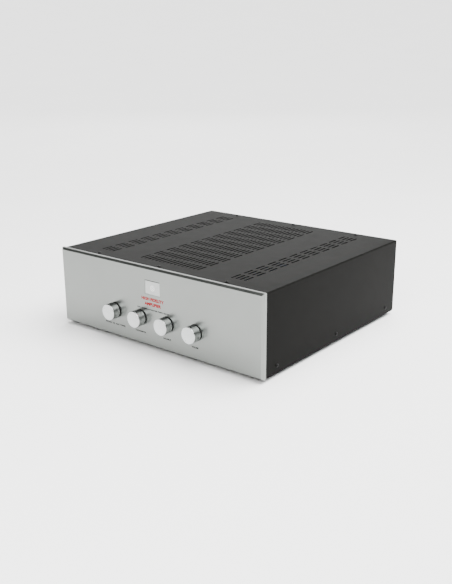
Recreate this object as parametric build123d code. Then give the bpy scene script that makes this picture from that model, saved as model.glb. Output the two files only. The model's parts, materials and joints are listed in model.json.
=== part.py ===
"""Integrated stereo power amplifier with valves, as an assembly of separate parts.

Frame: +Z up, the front panel faces -Y, +X is to the right of someone facing the front panel.
The origin is on the surface that the feet stand on, under the middle of the overall box.
All dimensions are millimetres.
"""

from build123d import *
import math
import os

# ---------------------------------------------------------------- driving dimensions
PANEL_W = 445.0  # standard full-width audio component
PANEL_H = 136.0
PANEL_T = 8.0
PANEL_CHAMFER = 3.5
PANEL_LIFT = 6.0  # surface to the front panel's lower edge
BODY_DEPTH = 412.0  # front panel's face to the cover's rear edge
KNOB_REACH = 16.5  # front panel's face to the knobs' faces
TERMINAL_REACH = 24.5  # cover's rear edge to the ends of the speaker terminals
SHEET = 1.5  # thickness of every bent sheet part
GAP = 0.1  # clearance between neighbouring fixed parts
RUN = 0.06  # radial clearance of a shaft that turns in its bore
OVER = 1.0  # how far a cutting shape runs past the face it opens

# ---------------------------------------------------------------- main planes
OVERALL_DEPTH = KNOB_REACH + BODY_DEPTH + TERMINAL_REACH
KNOB_FRONT = -OVERALL_DEPTH / 2
PANEL_FRONT = KNOB_FRONT + KNOB_REACH
PANEL_BACK = PANEL_FRONT + PANEL_T
COVER_REAR = PANEL_FRONT + BODY_DEPTH
TERMINAL_END = COVER_REAR + TERMINAL_REACH
PANEL_BASE = PANEL_LIFT
PANEL_TOP = PANEL_LIFT + PANEL_H

COVER_X = PANEL_W / 2 - 1.5
COVER_TOP = PANEL_TOP - 0.8
COVER_BASE = PANEL_BASE + 0.8
INSIDE_X = COVER_X - SHEET
INSIDE_TOP = COVER_TOP - SHEET
BEND_OUTER = 2.4
BEND_INNER = BEND_OUTER - SHEET
COVER_CORNER_R = 4.0

FLOOR_BASE = PANEL_BASE + 1.5
FLOOR_TOP = FLOOR_BASE + SHEET
TRAY_LIP_H = 24.0
SUBPANEL_BACK = PANEL_BACK + SHEET
REAR_FACE = COVER_REAR - 1.0
REAR_INNER = REAR_FACE - SHEET
UPRIGHT_X = INSIDE_X - 0.3  # half the width of the sub-panel and the rear panel
UPRIGHT_Z = (FLOOR_TOP + GAP, INSIDE_TOP - GAP)
FLANGE = 16.0  # their return flanges, top and bottom
FLANGE_X = INSIDE_X - 5.5

# ---------------------------------------------------------------- fasteners
M3_SHANK = 1.45
M3_TAPPED = 1.55
M3_CLEAR = 1.7
M3_HEAD = 3.0
M3_HEAD_H = 1.6
M3_SOCKET = 2.0  # across the flats
M3_SOCKET_DEPTH = 1.1
COVER_SCREW_X = (-141.0, 0.0, 141.0)
COVER_SCREW_INSET = 9.0  # top screws, from the cover's front and rear edges
COVER_SCREW_L = 6.0
SIDE_SCREW_Y = (-172.0, 0.0, 172.0)
SIDE_SCREW_Z = PANEL_BASE + 13.3
FLOOR_SCREW_X = (-190.0, -65.0, 65.0, 190.0)
FLOOR_SCREW_Y = (SUBPANEL_BACK + FLANGE / 2, REAR_INNER - FLANGE / 2)
FLOOR_SCREW_L = 5.0
PANEL_SCREWS = [(x, z) for x in (-205.0, 0.0, 205.0) for z in (PANEL_BASE + 18, PANEL_TOP - 16)]
PANEL_THREAD_DEPTH = 6.0

# ---------------------------------------------------------------- vents
SLOT_L = 23.0
SLOT_W = 3.4
SLOT_PITCH_X = 8.3
SLOT_PITCH_Y = 31.5
SLOT_ROWS = 11
VENTS = ((-145.0, 4), (0.0, 16), (145.0, 4))  # centre x, slots across
VENT_Y = PANEL_FRONT + 208.4
INTAKES = ((-70.0, 9), (70.0, 9))  # centre x, slots across, in the floor
INTAKE_ROWS = 5

# ---------------------------------------------------------------- feet
FOOT_PLACES = [(x, y) for x in (-178.0, 178.0) for y in (-160.0, 160.0)]
FOOT_R = 11.0
FOOT_BEVEL = (3.0, 1.0)
FOOT_RECESS_R = 5.0
FOOT_RECESS = 3.6
FOOT_SCREW_R = 1.9
FOOT_SCREW_HEAD = (4.0, 2.2)  # radius, thickness
FOOT_SLOT = (4.8, 1.0, 1.0)  # length, width and depth of the screwdriver slot
FOOT_NUT = (7.0, 3.0)  # across the flats, thickness

# ---------------------------------------------------------------- badge
BADGE_W = 32.5
BADGE_H = 22.5
BADGE_Z = PANEL_BASE + 101.8
BADGE_GAP = 0.15  # round the badge in its recess
BADGE_RECESS = 0.9
BADGE_T = 0.5
BADGE_RIM = 1.0
BADGE_RIM_H = 0.15

# ---------------------------------------------------------------- controls
KNOB_X = {"selector": -90.0, "monitor": -30.0, "balance": 30.0, "volume": 90.0}
KNOB_Z = PANEL_BASE + 46.5
KNOB_R = 14.0
KNOB_BACK = PANEL_FRONT - 1.8
KNOB_FACE_CHAMFER = 0.7
KNOB_BACK_CHAMFER = 0.4
DISH_SPHERE_R = 90.0
DISH_R = 12.4
INDEX_ANGLE = {"selector": -60.0, "monitor": -30.0, "balance": 0.0, "volume": -150.0}
INDEX_REACH = 11.0
INDEX_R = 0.6
INDEX_DEPTH = 0.8
RING_T = 1.2
RING_R = KNOB_R - 0.4
RING_BORE_R = 5.0

SHAFT_R = 3.0
SHAFT_FRONT = KNOB_FRONT + 4.5
KNOB_BORE_R = SHAFT_R + 0.05
GRUB_R = 1.5
GRUB_L = 6.0
GRUB_SOCKET = 1.5  # across the flats
GRUB_SOCKET_DEPTH = 2.0
GRUB_Y = (KNOB_FRONT + KNOB_BACK) / 2 + 1.5
GRUB_TOP = KNOB_Z - SHAFT_R - 0.02

CONTROL_DEPTH = {"selector": 52.0, "monitor": 30.0, "balance": 22.0, "volume": 26.0}
CONTROL_FRONT = SUBPANEL_BACK + GAP
CONTROL_REST = 2.0  # from the shaft's end to the control's rear face
BUSH_R = 4.7
BUSH_FRONT = PANEL_BACK - 4.6
BUSH_NUT = (14.0, 3.0)  # across the flats, thickness
NUT_RECESS_R = 9.5
NUT_RECESS_DEPTH = 5.0
WAFERS = {"selector": (3, 17.0), "monitor": (1, 15.0)}  # how many, radius
WAFER_T = 2.0
WAFER_START = 8.0
INDEX_PLATE_T = 6.0
CONTACTS = 12
CONTACT_TAG = (1.6, 1.0, 1.6)
PILLAR_R = 1.8
HUB_R = 5.0
POT_R = 12.5
POT_BACK_R = 9.0
POT_GANGS = 2
POT_RIM = 1.5
POT_TAG = (1.6, 1.0, 6.0)
POT_TAG_PITCH = 5.0

# ---------------------------------------------------------------- transformers
# x, y, (width, height), centre leg, stack
MAINS = (-160.0, -80.0, (96.0, 80.0), 32.0, 60.0)
OUTPUTS = ((-162.0, 100.0, (84.0, 70.0), 28.0, 46.0), (162.0, 100.0, (84.0, 70.0), 28.0, 46.0))
TRANSFORMERS = (MAINS, *OUTPUTS)
CORE_BASE = FLOOR_TOP + 2.0
COIL_GAP = 0.5
BOLT_R = 2.0
BOLT_HEX = 7.0
BOLT_HEAD_T = 2.8
BOLT_NUT_T = 3.0
BOLT_TAIL = 5.0
BRACKET_T = 1.6
BRACKET_TOE = 14.0
BRACKET_GAP = 0.05
BRACKET_SCREW_INSET = 12.0  # from the ends of a bracket
BRACKET_SCREW_REACH = 9.0  # from the core's face
BRACKET_SCREW_HEAD = (3.6, 2.4)  # radius, thickness

# ---------------------------------------------------------------- circuit board
BOARD_X = (-98.0, 98.0)
BOARD_Y = (-120.0, 150.0)
BOARD_Z = FLOOR_TOP + 12.0
BOARD_T = 1.6
BOARD_TOP = BOARD_Z + BOARD_T
PILLARS = [(x, y) for x in (-92.0, 92.0) for y in (-114.0, 15.0, 144.0)]
PILLAR_HEX = 6.0
PILLAR_THREAD = 6.0
OUTPUT_VALVES = [(x, y, 68.0) for x in (-42.0, 42.0) for y in (-10.0, 50.0)]  # x, y, height
DRIVER_VALVES = [(x, -80.0, 46.0) for x in (-54.0, -18.0, 18.0, 54.0)]
VALVES = OUTPUT_VALVES + DRIVER_VALVES
VALVE_R = 11.0
GLASS_T = 1.0
GLASS_TIP = (2.5, 0.6, 6.0)  # radii and height of the sealed tip
SOCKET_R = 11.5
SOCKET_H = 9.0
SOCKET_PINS = 9
SOCKET_PIN_CIRCLE = 6.0
SOCKET_PIN_R = 0.6
SOCKET_PIN_DEPTH = 5.0
MICA = (8.6, 0.6)  # radius, thickness
ANODE_R = 5.4
GRID_ROD = (6.8, 0.7)  # distance from the axis, radius
VALVE_BUTTON_T = 2.5
CAPACITORS = [(x, 115.0) for x in (-66.0, -22.0, 22.0, 66.0)]
CAPACITOR_R = 17.5
CAPACITOR_H = 56.0
CRIMP = (3.2, 1.6, 0.7)  # height, width, depth
SCORE = (22.0, 1.0, 0.8)  # length, width, depth

# ---------------------------------------------------------------- rear connections
REAR_Z = PANEL_BASE + 52.0
LINE_X = (50.0, 74.0, 98.0, 122.0, 146.0, 170.0)
LINE_ROW_Z = {"left": REAR_Z + 12.0, "right": REAR_Z - 12.0}
LINE_HOLE_R = 4.9
LINE_THREAD_R = 4.0
LINE_BARREL_R = 4.15
LINE_BORE_R = 3.3
LINE_WASHER = (7.5, 1.5)  # radius, thickness, outside the panel
LINE_BACK_WASHER = (6.5, 0.5)
LINE_HEX = (11.5, 2.0)  # across the flats, thickness
LINE_NUT = (11.0, 2.5)
LINE_BARREL_L = 8.5
LINE_FACE = REAR_FACE + LINE_WASHER[1]
LINE_END = LINE_FACE + LINE_HEX[1] + LINE_BARREL_L
LINE_TAIL = REAR_INNER - 7.0
LINE_CONTACT_R = 2.1
LINE_PIN_R = 1.6
LINE_PIN_START = LINE_TAIL + 6.0
LINE_TAG = (1.0, 5.0)  # radius, length

TERMINALS = {
    "right_positive": -88.05,
    "right_negative": -69.0,
    "left_positive": -29.05,
    "left_negative": -10.0,
}
TERMINAL_HOLE_R = 5.0
STUD_R = 3.0
STUD_END = TERMINAL_END - 0.5
STUD_TAIL = REAR_INNER - 14.0
STUD_HEX = (10.0, 3.0)
PLUG_R = 2.0
PLUG_DEPTH = 15.0
CROSS_HOLE_R = 1.1
BUSH_FLANGE = (9.0, 4.0, 0.8)  # radius, thickness, chamfer
BUSH_BACK = (8.0, 1.0)
CLAMP_FACE = REAR_FACE + BUSH_FLANGE[1]
CLAMP_WASHER = (7.0, 1.0)
CLAMP_GAP = 0.05
NUT_FRONT = CLAMP_FACE + CLAMP_WASHER[1] + 0.15
NUT_R = 8.0
NUT_FLUTES = 24
NUT_FLUTE_DEPTH = 0.5
NUT_CHAMFER = 1.0
NUT_GROOVE = (6.2, 5.2, 1.0, 2.0)  # outer and inner radius, depth, distance from the end

INLET_X = -172.0
INLET_FLANGE = (31.0, 3.0, 51.0)
INLET_FACE = REAR_FACE + INLET_FLANGE[1]
INLET_BODY = (27.0, 24.0, 46.0)
CAVITY = (24.4, 20.0, 16.6)
CAVITY_CHAMFER = 4.5
CAVITY_Z = REAR_Z - 9.0
BLADE = (2.0, 4.0)  # thickness, height
BLADE_L = 13.0
BLADE_TAIL = REAR_FACE - 32.0
BLADE_PLACES = ((-7.0, -2.0), (0.0, 2.0), (7.0, -2.0))  # x, z from the middle of the cavity
DRAWER_WELL = (18.0, 24.0, 8.0)
DRAWER_Z = REAR_Z + 13.0
DRAWER_GAP = 0.3
DRAWER_LIP = (8.0, 1.4, 1.6)
FUSE_R = 2.6
FUSE_L = 20.0
FUSE_CAP = 5.0

ROCKER_X = -128.0
ROCKER_BEZEL = (16.0, 2.0, 23.0)
ROCKER_BODY = (13.0, 16.0, 20.0)
ROCKER_WELL = (10.4, 6.5, 16.8)
ROCKER_TAG = (6.3, 8.0, 0.8)
ROCKER_PIVOT_Y = REAR_FACE - 1.5
ROCKER_PIVOT_R = 1.0
ROCKER_PIVOT_X = 6.0
ROCKER_HALF_W = 4.9
ROCKER_HALF_H = 7.4
ROCKER_TILT = -8.0  # off: the lower half is pressed in


# ================================================================ helpers
def block(x, y, z):
    """Box between (low, high) pairs along each axis."""
    size = [pair[1] - pair[0] for pair in (x, y, z)]
    centre = [(pair[0] + pair[1]) / 2 for pair in (x, y, z)]
    return Pos(*centre) * Box(*size)


def centred_block(x, y, z, size):
    """Box of that size about the point x, y, z."""
    return Pos(x, y, z) * Box(*size)


def upright(r, height):
    """Cylinder that stands on z = 0."""
    return Cylinder(r, height, align=(Align.CENTER, Align.CENTER, Align.MIN))


def rod_x(r, x, y, z):
    """Cylinder along X between the pair x."""
    return Pos(x[0], y, z) * Rot(0, 90, 0) * upright(r, x[1] - x[0])


def rod_y(r, x, y, z):
    """Cylinder along Y between the pair y."""
    return Pos(x, y[0], z) * Rot(-90, 0, 0) * upright(r, y[1] - y[0])


def rod_z(r, x, y, z):
    """Cylinder along Z between the pair z."""
    return Pos(x, y, z[0]) * upright(r, z[1] - z[0])


def hexagon(across, height):
    """Hexagonal prism that stands on z = 0, of that size across its flats."""
    return extrude(RegularPolygon(across / 2, 6, major_radius=False), height)


def hex_y(across, x, y, z):
    """Hexagonal bar along Y between the pair y."""
    return Pos(x, y[0], z) * Rot(-90, 0, 0) * hexagon(across, y[1] - y[0])


def tube_y(outer, inner, x, y, z):
    """Hollow cylinder along Y between the pair y."""
    return rod_y(outer, x, y, z) - rod_y(inner, x, (y[0] - OVER, y[1] + OVER), z)


def nut_y(across, inner, x, y, z):
    """Hexagonal nut along Y between the pair y."""
    return hex_y(across, x, y, z) - rod_y(inner, x, (y[0] - OVER, y[1] + OVER), z)


def joined(shapes):
    """One solid from shapes that touch or overlap."""
    total = shapes[0]
    for shape in shapes[1:]:
        total += shape
    return total


def group(shapes):
    """Separate solids that share a node."""
    return Compound(children=[solid for shape in shapes for solid in shape.solids()])


def button_screw(length):
    """M3 button screw whose head sits on z = 0, with its shank below."""
    head = upright(M3_HEAD, M3_HEAD_H)
    head = fillet(head.edges().sort_by(Axis.Z)[-1], M3_HEAD_H * 0.8)
    shank = Pos(0, 0, -length) * upright(M3_SHANK, length)
    socket = Pos(0, 0, M3_HEAD_H - M3_SOCKET_DEPTH) * hexagon(M3_SOCKET, M3_SOCKET_DEPTH + OVER)
    return head + shank - socket


def slot_field(centre, across, rows, z):
    """Prisms of a grid of slots that run front to back, through the sheet whose lower face is at z."""
    slots = Sketch()
    for place in GridLocations(SLOT_PITCH_X, SLOT_PITCH_Y, across, rows):
        slots += place * SlotOverall(SLOT_L, SLOT_W, rotation=90)
    return Pos(*centre, z - OVER) * extrude(slots, SHEET + 2 * OVER)


# ================================================================ enclosure
def front_panel():
    """Thick aluminium face with bevelled edges, a badge recess and four control holes."""
    plate = block((-PANEL_W / 2, PANEL_W / 2), (PANEL_FRONT, PANEL_BACK), (PANEL_BASE, PANEL_TOP))
    plate = chamfer(plate.faces().sort_by(Axis.Y)[0].edges(), PANEL_CHAMFER)
    cuts = [badge_block(BADGE_GAP, PANEL_FRONT - OVER, PANEL_FRONT + BADGE_RECESS)]
    for x in KNOB_X.values():
        cuts.append(rod_y(SHAFT_R + 1.0, x, (PANEL_FRONT - OVER, PANEL_BACK + OVER), KNOB_Z))
        cuts.append(rod_y(NUT_RECESS_R, x, (PANEL_BACK - NUT_RECESS_DEPTH, PANEL_BACK + OVER), KNOB_Z))
    for x, z in PANEL_SCREWS:
        cuts.append(rod_y(M3_TAPPED, x, (PANEL_BACK - PANEL_THREAD_DEPTH, PANEL_BACK + OVER), z))
    return plate - cuts


def badge_block(margin, front, back):
    """Box of the badge's outline plus the margin, between two depths."""
    half_w = BADGE_W / 2 + margin
    half_h = BADGE_H / 2 + margin
    return block((-half_w, half_w), (front, back), (BADGE_Z - half_h, BADGE_Z + half_h))


def badge_plate():
    """Thin metal plate at the bottom of its recess, with a raised border."""
    back = PANEL_FRONT + BADGE_RECESS
    face = back - BADGE_T
    return badge_block(0, face, back) - badge_block(-BADGE_RIM, face - OVER, face + BADGE_RIM_H)


def upright_sheet(outer, inner):
    """Upright sheet between two planes, its upper corners cut to clear the cover's bends."""
    sheet = block((-UPRIGHT_X, UPRIGHT_X), sorted((outer, inner)), UPRIGHT_Z)
    corners = [edge for edge in sheet.edges().filter_by(Axis.Y) if edge.center().Z > UPRIGHT_Z[1] - OVER]
    return chamfer(corners, BEND_OUTER)


def return_flanges(start, end):
    """Upper and lower flange of an upright sheet, from its inner face to their tips."""
    base, top = UPRIGHT_Z
    span = sorted((start, end))
    return [block((-FLANGE_X, FLANGE_X), span, z) for z in ((top - SHEET, top), (base, base + SHEET))]


def flange_holes(top_y, bottom_y):
    """Tapped holes for the cover screws above and the floor screws below."""
    top = [rod_z(M3_TAPPED, x, top_y, (INSIDE_TOP - 8, INSIDE_TOP + OVER)) for x in COVER_SCREW_X]
    low = [rod_z(M3_TAPPED, x, bottom_y, (FLOOR_TOP - OVER, FLOOR_TOP + 8)) for x in FLOOR_SCREW_X]
    return top + low


def front_subpanel():
    """Steel sheet behind the front panel, which carries the controls."""
    flanges = return_flanges(SUBPANEL_BACK, SUBPANEL_BACK + FLANGE)
    plate = joined([upright_sheet(PANEL_BACK + 0.02, SUBPANEL_BACK), *flanges])
    through = (PANEL_BACK - OVER, SUBPANEL_BACK + OVER)
    cuts = [rod_y(BUSH_R + 0.2, x, through, KNOB_Z) for x in KNOB_X.values()]
    cuts += [rod_y(M3_CLEAR, x, through, z) for x, z in PANEL_SCREWS]
    cuts += flange_holes(PANEL_BACK + COVER_SCREW_INSET, FLOOR_SCREW_Y[0])
    return plate - cuts


def rear_panel():
    """Flat of the steel sheet that carries every rear connection."""
    through = (REAR_INNER - OVER, REAR_FACE + OVER)
    cuts = [rod_y(LINE_HOLE_R, x, through, z) for x in LINE_X for z in LINE_ROW_Z.values()]
    cuts += [rod_y(TERMINAL_HOLE_R, x, through, REAR_Z) for x in TERMINALS.values()]
    for x, body in ((INLET_X, INLET_BODY), (ROCKER_X, ROCKER_BODY)):
        width, _, height = body
        half_w = width / 2 + 2 * GAP
        half_h = height / 2 + 2 * GAP
        cuts.append(block((x - half_w, x + half_w), through, (REAR_Z - half_h, REAR_Z + half_h)))
    return upright_sheet(REAR_FACE, REAR_INNER) - cuts


def rear_flanges():
    """Upper and lower flange of the rear panel, which the cover and the floor screw to."""
    holes = flange_holes(COVER_REAR - COVER_SCREW_INSET, FLOOR_SCREW_Y[1])
    return group([flange - holes for flange in return_flanges(REAR_INNER, REAR_INNER - FLANGE)])


def bracket_screw_places():
    """Points on the floor where the transformers' brackets are screwed down."""
    places = []
    for x, y, size, _, stack in TRANSFORMERS:
        reach_x = size[0] / 2 - BRACKET_SCREW_INSET
        reach_y = stack / 2 + BRACKET_SCREW_REACH
        places += [(x + sx * reach_x, y + sy * reach_y) for sx in (-1, 1) for sy in (-1, 1)]
    return places


def base_tray():
    """Steel floor with upturned side lips, air intakes and screw holes."""
    half = INSIDE_X - GAP
    floor = block((-half, half), (PANEL_BACK + GAP, REAR_FACE), (FLOOR_BASE, FLOOR_TOP))
    pieces = [floor]
    lip_y = (SUBPANEL_BACK + 0.5, REAR_INNER - 0.5)
    lip_z = (FLOOR_TOP, FLOOR_TOP + TRAY_LIP_H)
    for side in (-1, 1):
        pieces.append(block(sorted((side * half, side * (half - SHEET))), lip_y, lip_z))
    tray = joined(pieces)
    bends = [edge for edge in tray.edges().filter_by(Axis.Y) if abs(edge.center().Z - FLOOR_BASE) < GAP]
    tray = fillet(bends, BEND_INNER)
    through = (FLOOR_BASE - OVER, FLOOR_TOP + OVER)
    cuts = [slot_field((x, 0), across, INTAKE_ROWS, FLOOR_BASE) for x, across in INTAKES]
    cuts += [rod_z(M3_CLEAR, x, y, through) for x in FLOOR_SCREW_X for y in FLOOR_SCREW_Y]
    cuts += [rod_z(FOOT_SCREW_R + GAP, x, y, through) for x, y in FOOT_PLACES]
    cuts += [rod_z(BOLT_R + GAP, x, y, through) for x, y in bracket_screw_places()]
    for y in SIDE_SCREW_Y:
        cuts.append(rod_x(M3_TAPPED, (-half - OVER, SHEET + OVER - half), y, SIDE_SCREW_Z))
        cuts.append(rod_x(M3_TAPPED, (half - SHEET - OVER, half + OVER), y, SIDE_SCREW_Z))
    return tray - cuts


def long_edges(shape, x, z):
    """Edges of the shape that run front to back at that |x| and z."""
    found = []
    for edge in shape.edges().filter_by(Axis.Y):
        centre = edge.center()
        if abs(abs(centre.X) - x) < GAP and abs(centre.Z - z) < GAP:
            found.append(edge)
    return found


def top_cover():
    """Bent sheet over the top and both sides, with three fields of vent slots."""
    front = PANEL_BACK + GAP
    outside = block((-COVER_X, COVER_X), (front, COVER_REAR), (COVER_BASE, COVER_TOP))
    inside_y = (front - OVER, COVER_REAR + OVER)
    inside = block((-INSIDE_X, INSIDE_X), inside_y, (COVER_BASE - OVER, INSIDE_TOP))
    shell = outside - inside
    shell = fillet(long_edges(shell, COVER_X, COVER_TOP), BEND_OUTER)
    shell = fillet(long_edges(shell, INSIDE_X, INSIDE_TOP), BEND_INNER)
    low_edges = shell.edges().filter_by(Axis.X).group_by(Axis.Z)[0]
    shell = fillet([edge for edge in low_edges if edge.center().Y > COVER_REAR - GAP], COVER_CORNER_R)
    cuts = [slot_field((x, VENT_Y), across, SLOT_ROWS, INSIDE_TOP) for x, across in VENTS]
    for y in (PANEL_BACK + COVER_SCREW_INSET, COVER_REAR - COVER_SCREW_INSET):
        cuts += [rod_z(M3_CLEAR, x, y, (INSIDE_TOP - OVER, COVER_TOP + OVER)) for x in COVER_SCREW_X]
    for y in SIDE_SCREW_Y:
        cuts.append(rod_x(M3_CLEAR, (-COVER_X - OVER, OVER - INSIDE_X), y, SIDE_SCREW_Z))
        cuts.append(rod_x(M3_CLEAR, (INSIDE_X - OVER, COVER_X + OVER), y, SIDE_SCREW_Z))
    return shell - cuts


def cover_screws():
    """Twelve button screws: three at each end of the top and three low on each side."""
    screw = button_screw(COVER_SCREW_L)
    screws = []
    for x in COVER_SCREW_X:
        for y in (PANEL_BACK + COVER_SCREW_INSET, COVER_REAR - COVER_SCREW_INSET):
            screws.append(Pos(x, y, COVER_TOP) * screw)
    for y in SIDE_SCREW_Y:
        screws.append(Pos(-COVER_X, y, SIDE_SCREW_Z) * Rot(0, -90, 0) * screw)
        screws.append(Pos(COVER_X, y, SIDE_SCREW_Z) * Rot(0, 90, 0) * screw)
    return group(screws)


def frame_screws():
    """Screws that hold the front panel to its sub-panel, and both upright sheets to the floor."""
    panel_screw = button_screw(SHEET + PANEL_THREAD_DEPTH - 1.0)
    floor_screw = button_screw(FLOOR_SCREW_L)
    screws = [Pos(x, SUBPANEL_BACK, z) * Rot(-90, 0, 0) * panel_screw for x, z in PANEL_SCREWS]
    for x in FLOOR_SCREW_X:
        for y in FLOOR_SCREW_Y:
            screws.append(Pos(x, y, FLOOR_BASE) * Rot(180, 0, 0) * floor_screw)
    return group(screws)


def rubber_feet():
    """Four tapered feet, each with a recess for its screw."""
    foot = upright(FOOT_R, FLOOR_BASE)
    foot = chamfer(foot.edges().sort_by(Axis.Z)[0], *FOOT_BEVEL)
    foot -= rod_z(FOOT_RECESS_R, 0, 0, (-OVER, FOOT_RECESS))
    foot -= rod_z(FOOT_SCREW_R + GAP, 0, 0, (0, FLOOR_BASE + OVER))
    return group([Pos(x, y, 0) * foot for x, y in FOOT_PLACES])


def foot_screws():
    """Screw of each foot, and its nut above the floor."""
    head_r, head_t = FOOT_SCREW_HEAD
    head_base = FOOT_RECESS - head_t
    nut_across, nut_t = FOOT_NUT
    screw = rod_z(head_r, 0, 0, (head_base, FOOT_RECESS))
    screw += rod_z(FOOT_SCREW_R, 0, 0, (FOOT_RECESS, FLOOR_TOP + nut_t + 1.0))
    screw -= centred_block(0, 0, head_base, FOOT_SLOT)
    nut = hexagon(nut_across, nut_t) - upright(FOOT_SCREW_R + GAP, nut_t + OVER)
    pieces = []
    for x, y in FOOT_PLACES:
        pieces.append(Pos(x, y, 0) * screw)
        pieces.append(Pos(x, y, FLOOR_TOP) * nut)
    return group(pieces)


# ================================================================ controls
def knob(name):
    """Turned aluminium knob with a dished face, a shaft bore, a grub screw hole and an index dot."""
    x = KNOB_X[name]
    body = rod_y(KNOB_R, x, (KNOB_FRONT, KNOB_BACK), KNOB_Z)
    body = chamfer(body.edges().sort_by(Axis.Y)[0], KNOB_FACE_CHAMFER)
    body = chamfer(body.edges().sort_by(Axis.Y)[-1], KNOB_BACK_CHAMFER)
    dish_y = KNOB_FRONT - math.sqrt(DISH_SPHERE_R**2 - DISH_R**2)
    body -= Pos(x, dish_y, KNOB_Z) * Sphere(DISH_SPHERE_R)
    body -= rod_y(KNOB_BORE_R, x, (SHAFT_FRONT - 0.5, KNOB_BACK + OVER), KNOB_Z)
    body -= rod_z(GRUB_R + GAP, x, GRUB_Y, (KNOB_Z - KNOB_R - OVER, KNOB_Z))
    angle = math.radians(INDEX_ANGLE[name])
    dot_x = x + INDEX_REACH * math.sin(angle)
    dot_z = KNOB_Z + INDEX_REACH * math.cos(angle)
    return body - rod_y(INDEX_R, dot_x, (KNOB_FRONT - OVER, KNOB_FRONT + INDEX_DEPTH), dot_z)


def grub_screw(name):
    """Socket set screw that clamps a knob to its shaft."""
    x = KNOB_X[name]
    base = GRUB_TOP - GRUB_L
    screw = rod_z(GRUB_R, x, GRUB_Y, (base, GRUB_TOP))
    return screw - Pos(x, GRUB_Y, base) * hexagon(GRUB_SOCKET, GRUB_SOCKET_DEPTH)


def shaft(name):
    """Control shaft, from the knob to the rear of its switch or potentiometer."""
    rear = SUBPANEL_BACK + CONTROL_DEPTH[name] - CONTROL_REST
    return rod_y(SHAFT_R, KNOB_X[name], (SHAFT_FRONT, rear), KNOB_Z)


def knob_washers():
    """Black felt ring between each knob and the panel."""
    span = (PANEL_FRONT - RING_T, PANEL_FRONT)
    return group([tube_y(RING_R, RING_BORE_R, x, span, KNOB_Z) for x in KNOB_X.values()])


def bored_control(name, pieces):
    """Joins the fixed pieces of a control with its threaded bush and bores them for the shaft."""
    x = KNOB_X[name]
    bush = rod_y(BUSH_R, x, (BUSH_FRONT, CONTROL_FRONT + OVER), KNOB_Z)
    rear = SUBPANEL_BACK + CONTROL_DEPTH[name] - CONTROL_REST + 0.5
    return joined([bush, *pieces]) - rod_y(SHAFT_R + RUN, x, (BUSH_FRONT - OVER, rear), KNOB_Z)


def rotary_switch(name):
    """Index plate, and insulating wafers with contact tags, on two pillars and a hub."""
    x = KNOB_X[name]
    count, wafer_r = WAFERS[name]
    end = SUBPANEL_BACK + CONTROL_DEPTH[name]
    pitch = (end - CONTROL_FRONT - WAFER_START) / count
    pieces = [rod_y(wafer_r - 3, x, (CONTROL_FRONT, CONTROL_FRONT + INDEX_PLATE_T), KNOB_Z)]
    for index in range(count):
        y = CONTROL_FRONT + WAFER_START + pitch * (index + 0.5)
        pieces.append(rod_y(wafer_r, x, (y, y + WAFER_T), KNOB_Z))
        for step in range(CONTACTS):
            turn = 2 * math.pi * (step + 0.5) / CONTACTS
            tag_x = x + (wafer_r - 0.5) * math.sin(turn)
            tag_z = KNOB_Z + (wafer_r - 0.5) * math.cos(turn)
            pieces.append(centred_block(tag_x, y + WAFER_T / 2, tag_z, CONTACT_TAG))
    for side in (-1, 1):
        pieces.append(rod_y(PILLAR_R, x + side * (wafer_r - 5), (CONTROL_FRONT, end), KNOB_Z))
    pieces.append(rod_y(HUB_R, x, (CONTROL_FRONT, end), KNOB_Z))
    return bored_control(name, pieces)


def potentiometer(name):
    """Sealed stereo potentiometer: a can and three solder tags for each gang."""
    x = KNOB_X[name]
    length = CONTROL_DEPTH[name] / POT_GANGS
    pieces = []
    for gang in range(POT_GANGS):
        y = CONTROL_FRONT + gang * length
        pieces.append(rod_y(POT_R, x, (y, y + length - POT_RIM), KNOB_Z))
        pieces.append(rod_y(POT_BACK_R, x, (y, y + length), KNOB_Z))
        for step in (-1, 0, 1):
            tag_z = KNOB_Z - POT_R - POT_RIM
            pieces.append(centred_block(x + POT_TAG_PITCH * step, y + length / 2, tag_z, POT_TAG))
    return bored_control(name, pieces)


def panel_nuts():
    """Hexagon nuts of the four controls and the twelve line sockets."""
    across, thick = BUSH_NUT
    span = (PANEL_BACK - thick, PANEL_BACK)
    nuts = [nut_y(across, BUSH_R + GAP, x, span, KNOB_Z) for x in KNOB_X.values()]
    across, thick = LINE_NUT
    end = REAR_INNER - LINE_BACK_WASHER[1]
    for x, z in line_places(*LINE_ROW_Z):
        nuts.append(nut_y(across, LINE_THREAD_R + GAP, x, (end - thick, end), z))
    return group(nuts)


# ================================================================ transformers
def window_width(size, leg):
    """Width of each of a core's two windows."""
    return size[0] / 2 - leg


def bolt_places(size, leg):
    """Corner bolts of a core, from its middle."""
    half_w = size[0] / 2 - leg / 4
    half_h = size[1] / 2 - leg / 4
    return [(sx * half_w, sz * half_h) for sx in (-1, 1) for sz in (-1, 1)]


def transformer_core(x, y, size, leg, stack):
    """Laminated core of two windows, with its centre leg upright."""
    window = window_width(size, leg)
    middle = CORE_BASE + size[1] / 2
    cuts = []
    for side in (-1, 1):
        window_x = x + side * (leg + window) / 2
        cuts.append(centred_block(window_x, y, middle, (window, stack + 2 * OVER, size[1] - leg)))
    for dx, dz in bolt_places(size, leg):
        cuts.append(rod_y(BOLT_R + GAP, x + dx, (y - stack, y + stack), middle + dz))
    return centred_block(x, y, middle, (size[0], stack, size[1])) - cuts


def transformer_coil(x, y, size, leg, stack):
    """Winding round the centre leg, with rounded corners."""
    window = window_width(size, leg)
    grown = 2 * (window - COIL_GAP)
    outer = Box(leg + grown, stack + grown, size[1] - leg - 2 * COIL_GAP)
    outer = fillet(outer.edges().filter_by(Axis.Z), window * 0.45)
    inner = Box(leg + 2 * COIL_GAP, stack + 2 * COIL_GAP, size[1])
    return Pos(x, y, CORE_BASE + size[1] / 2) * (outer - inner)


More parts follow.
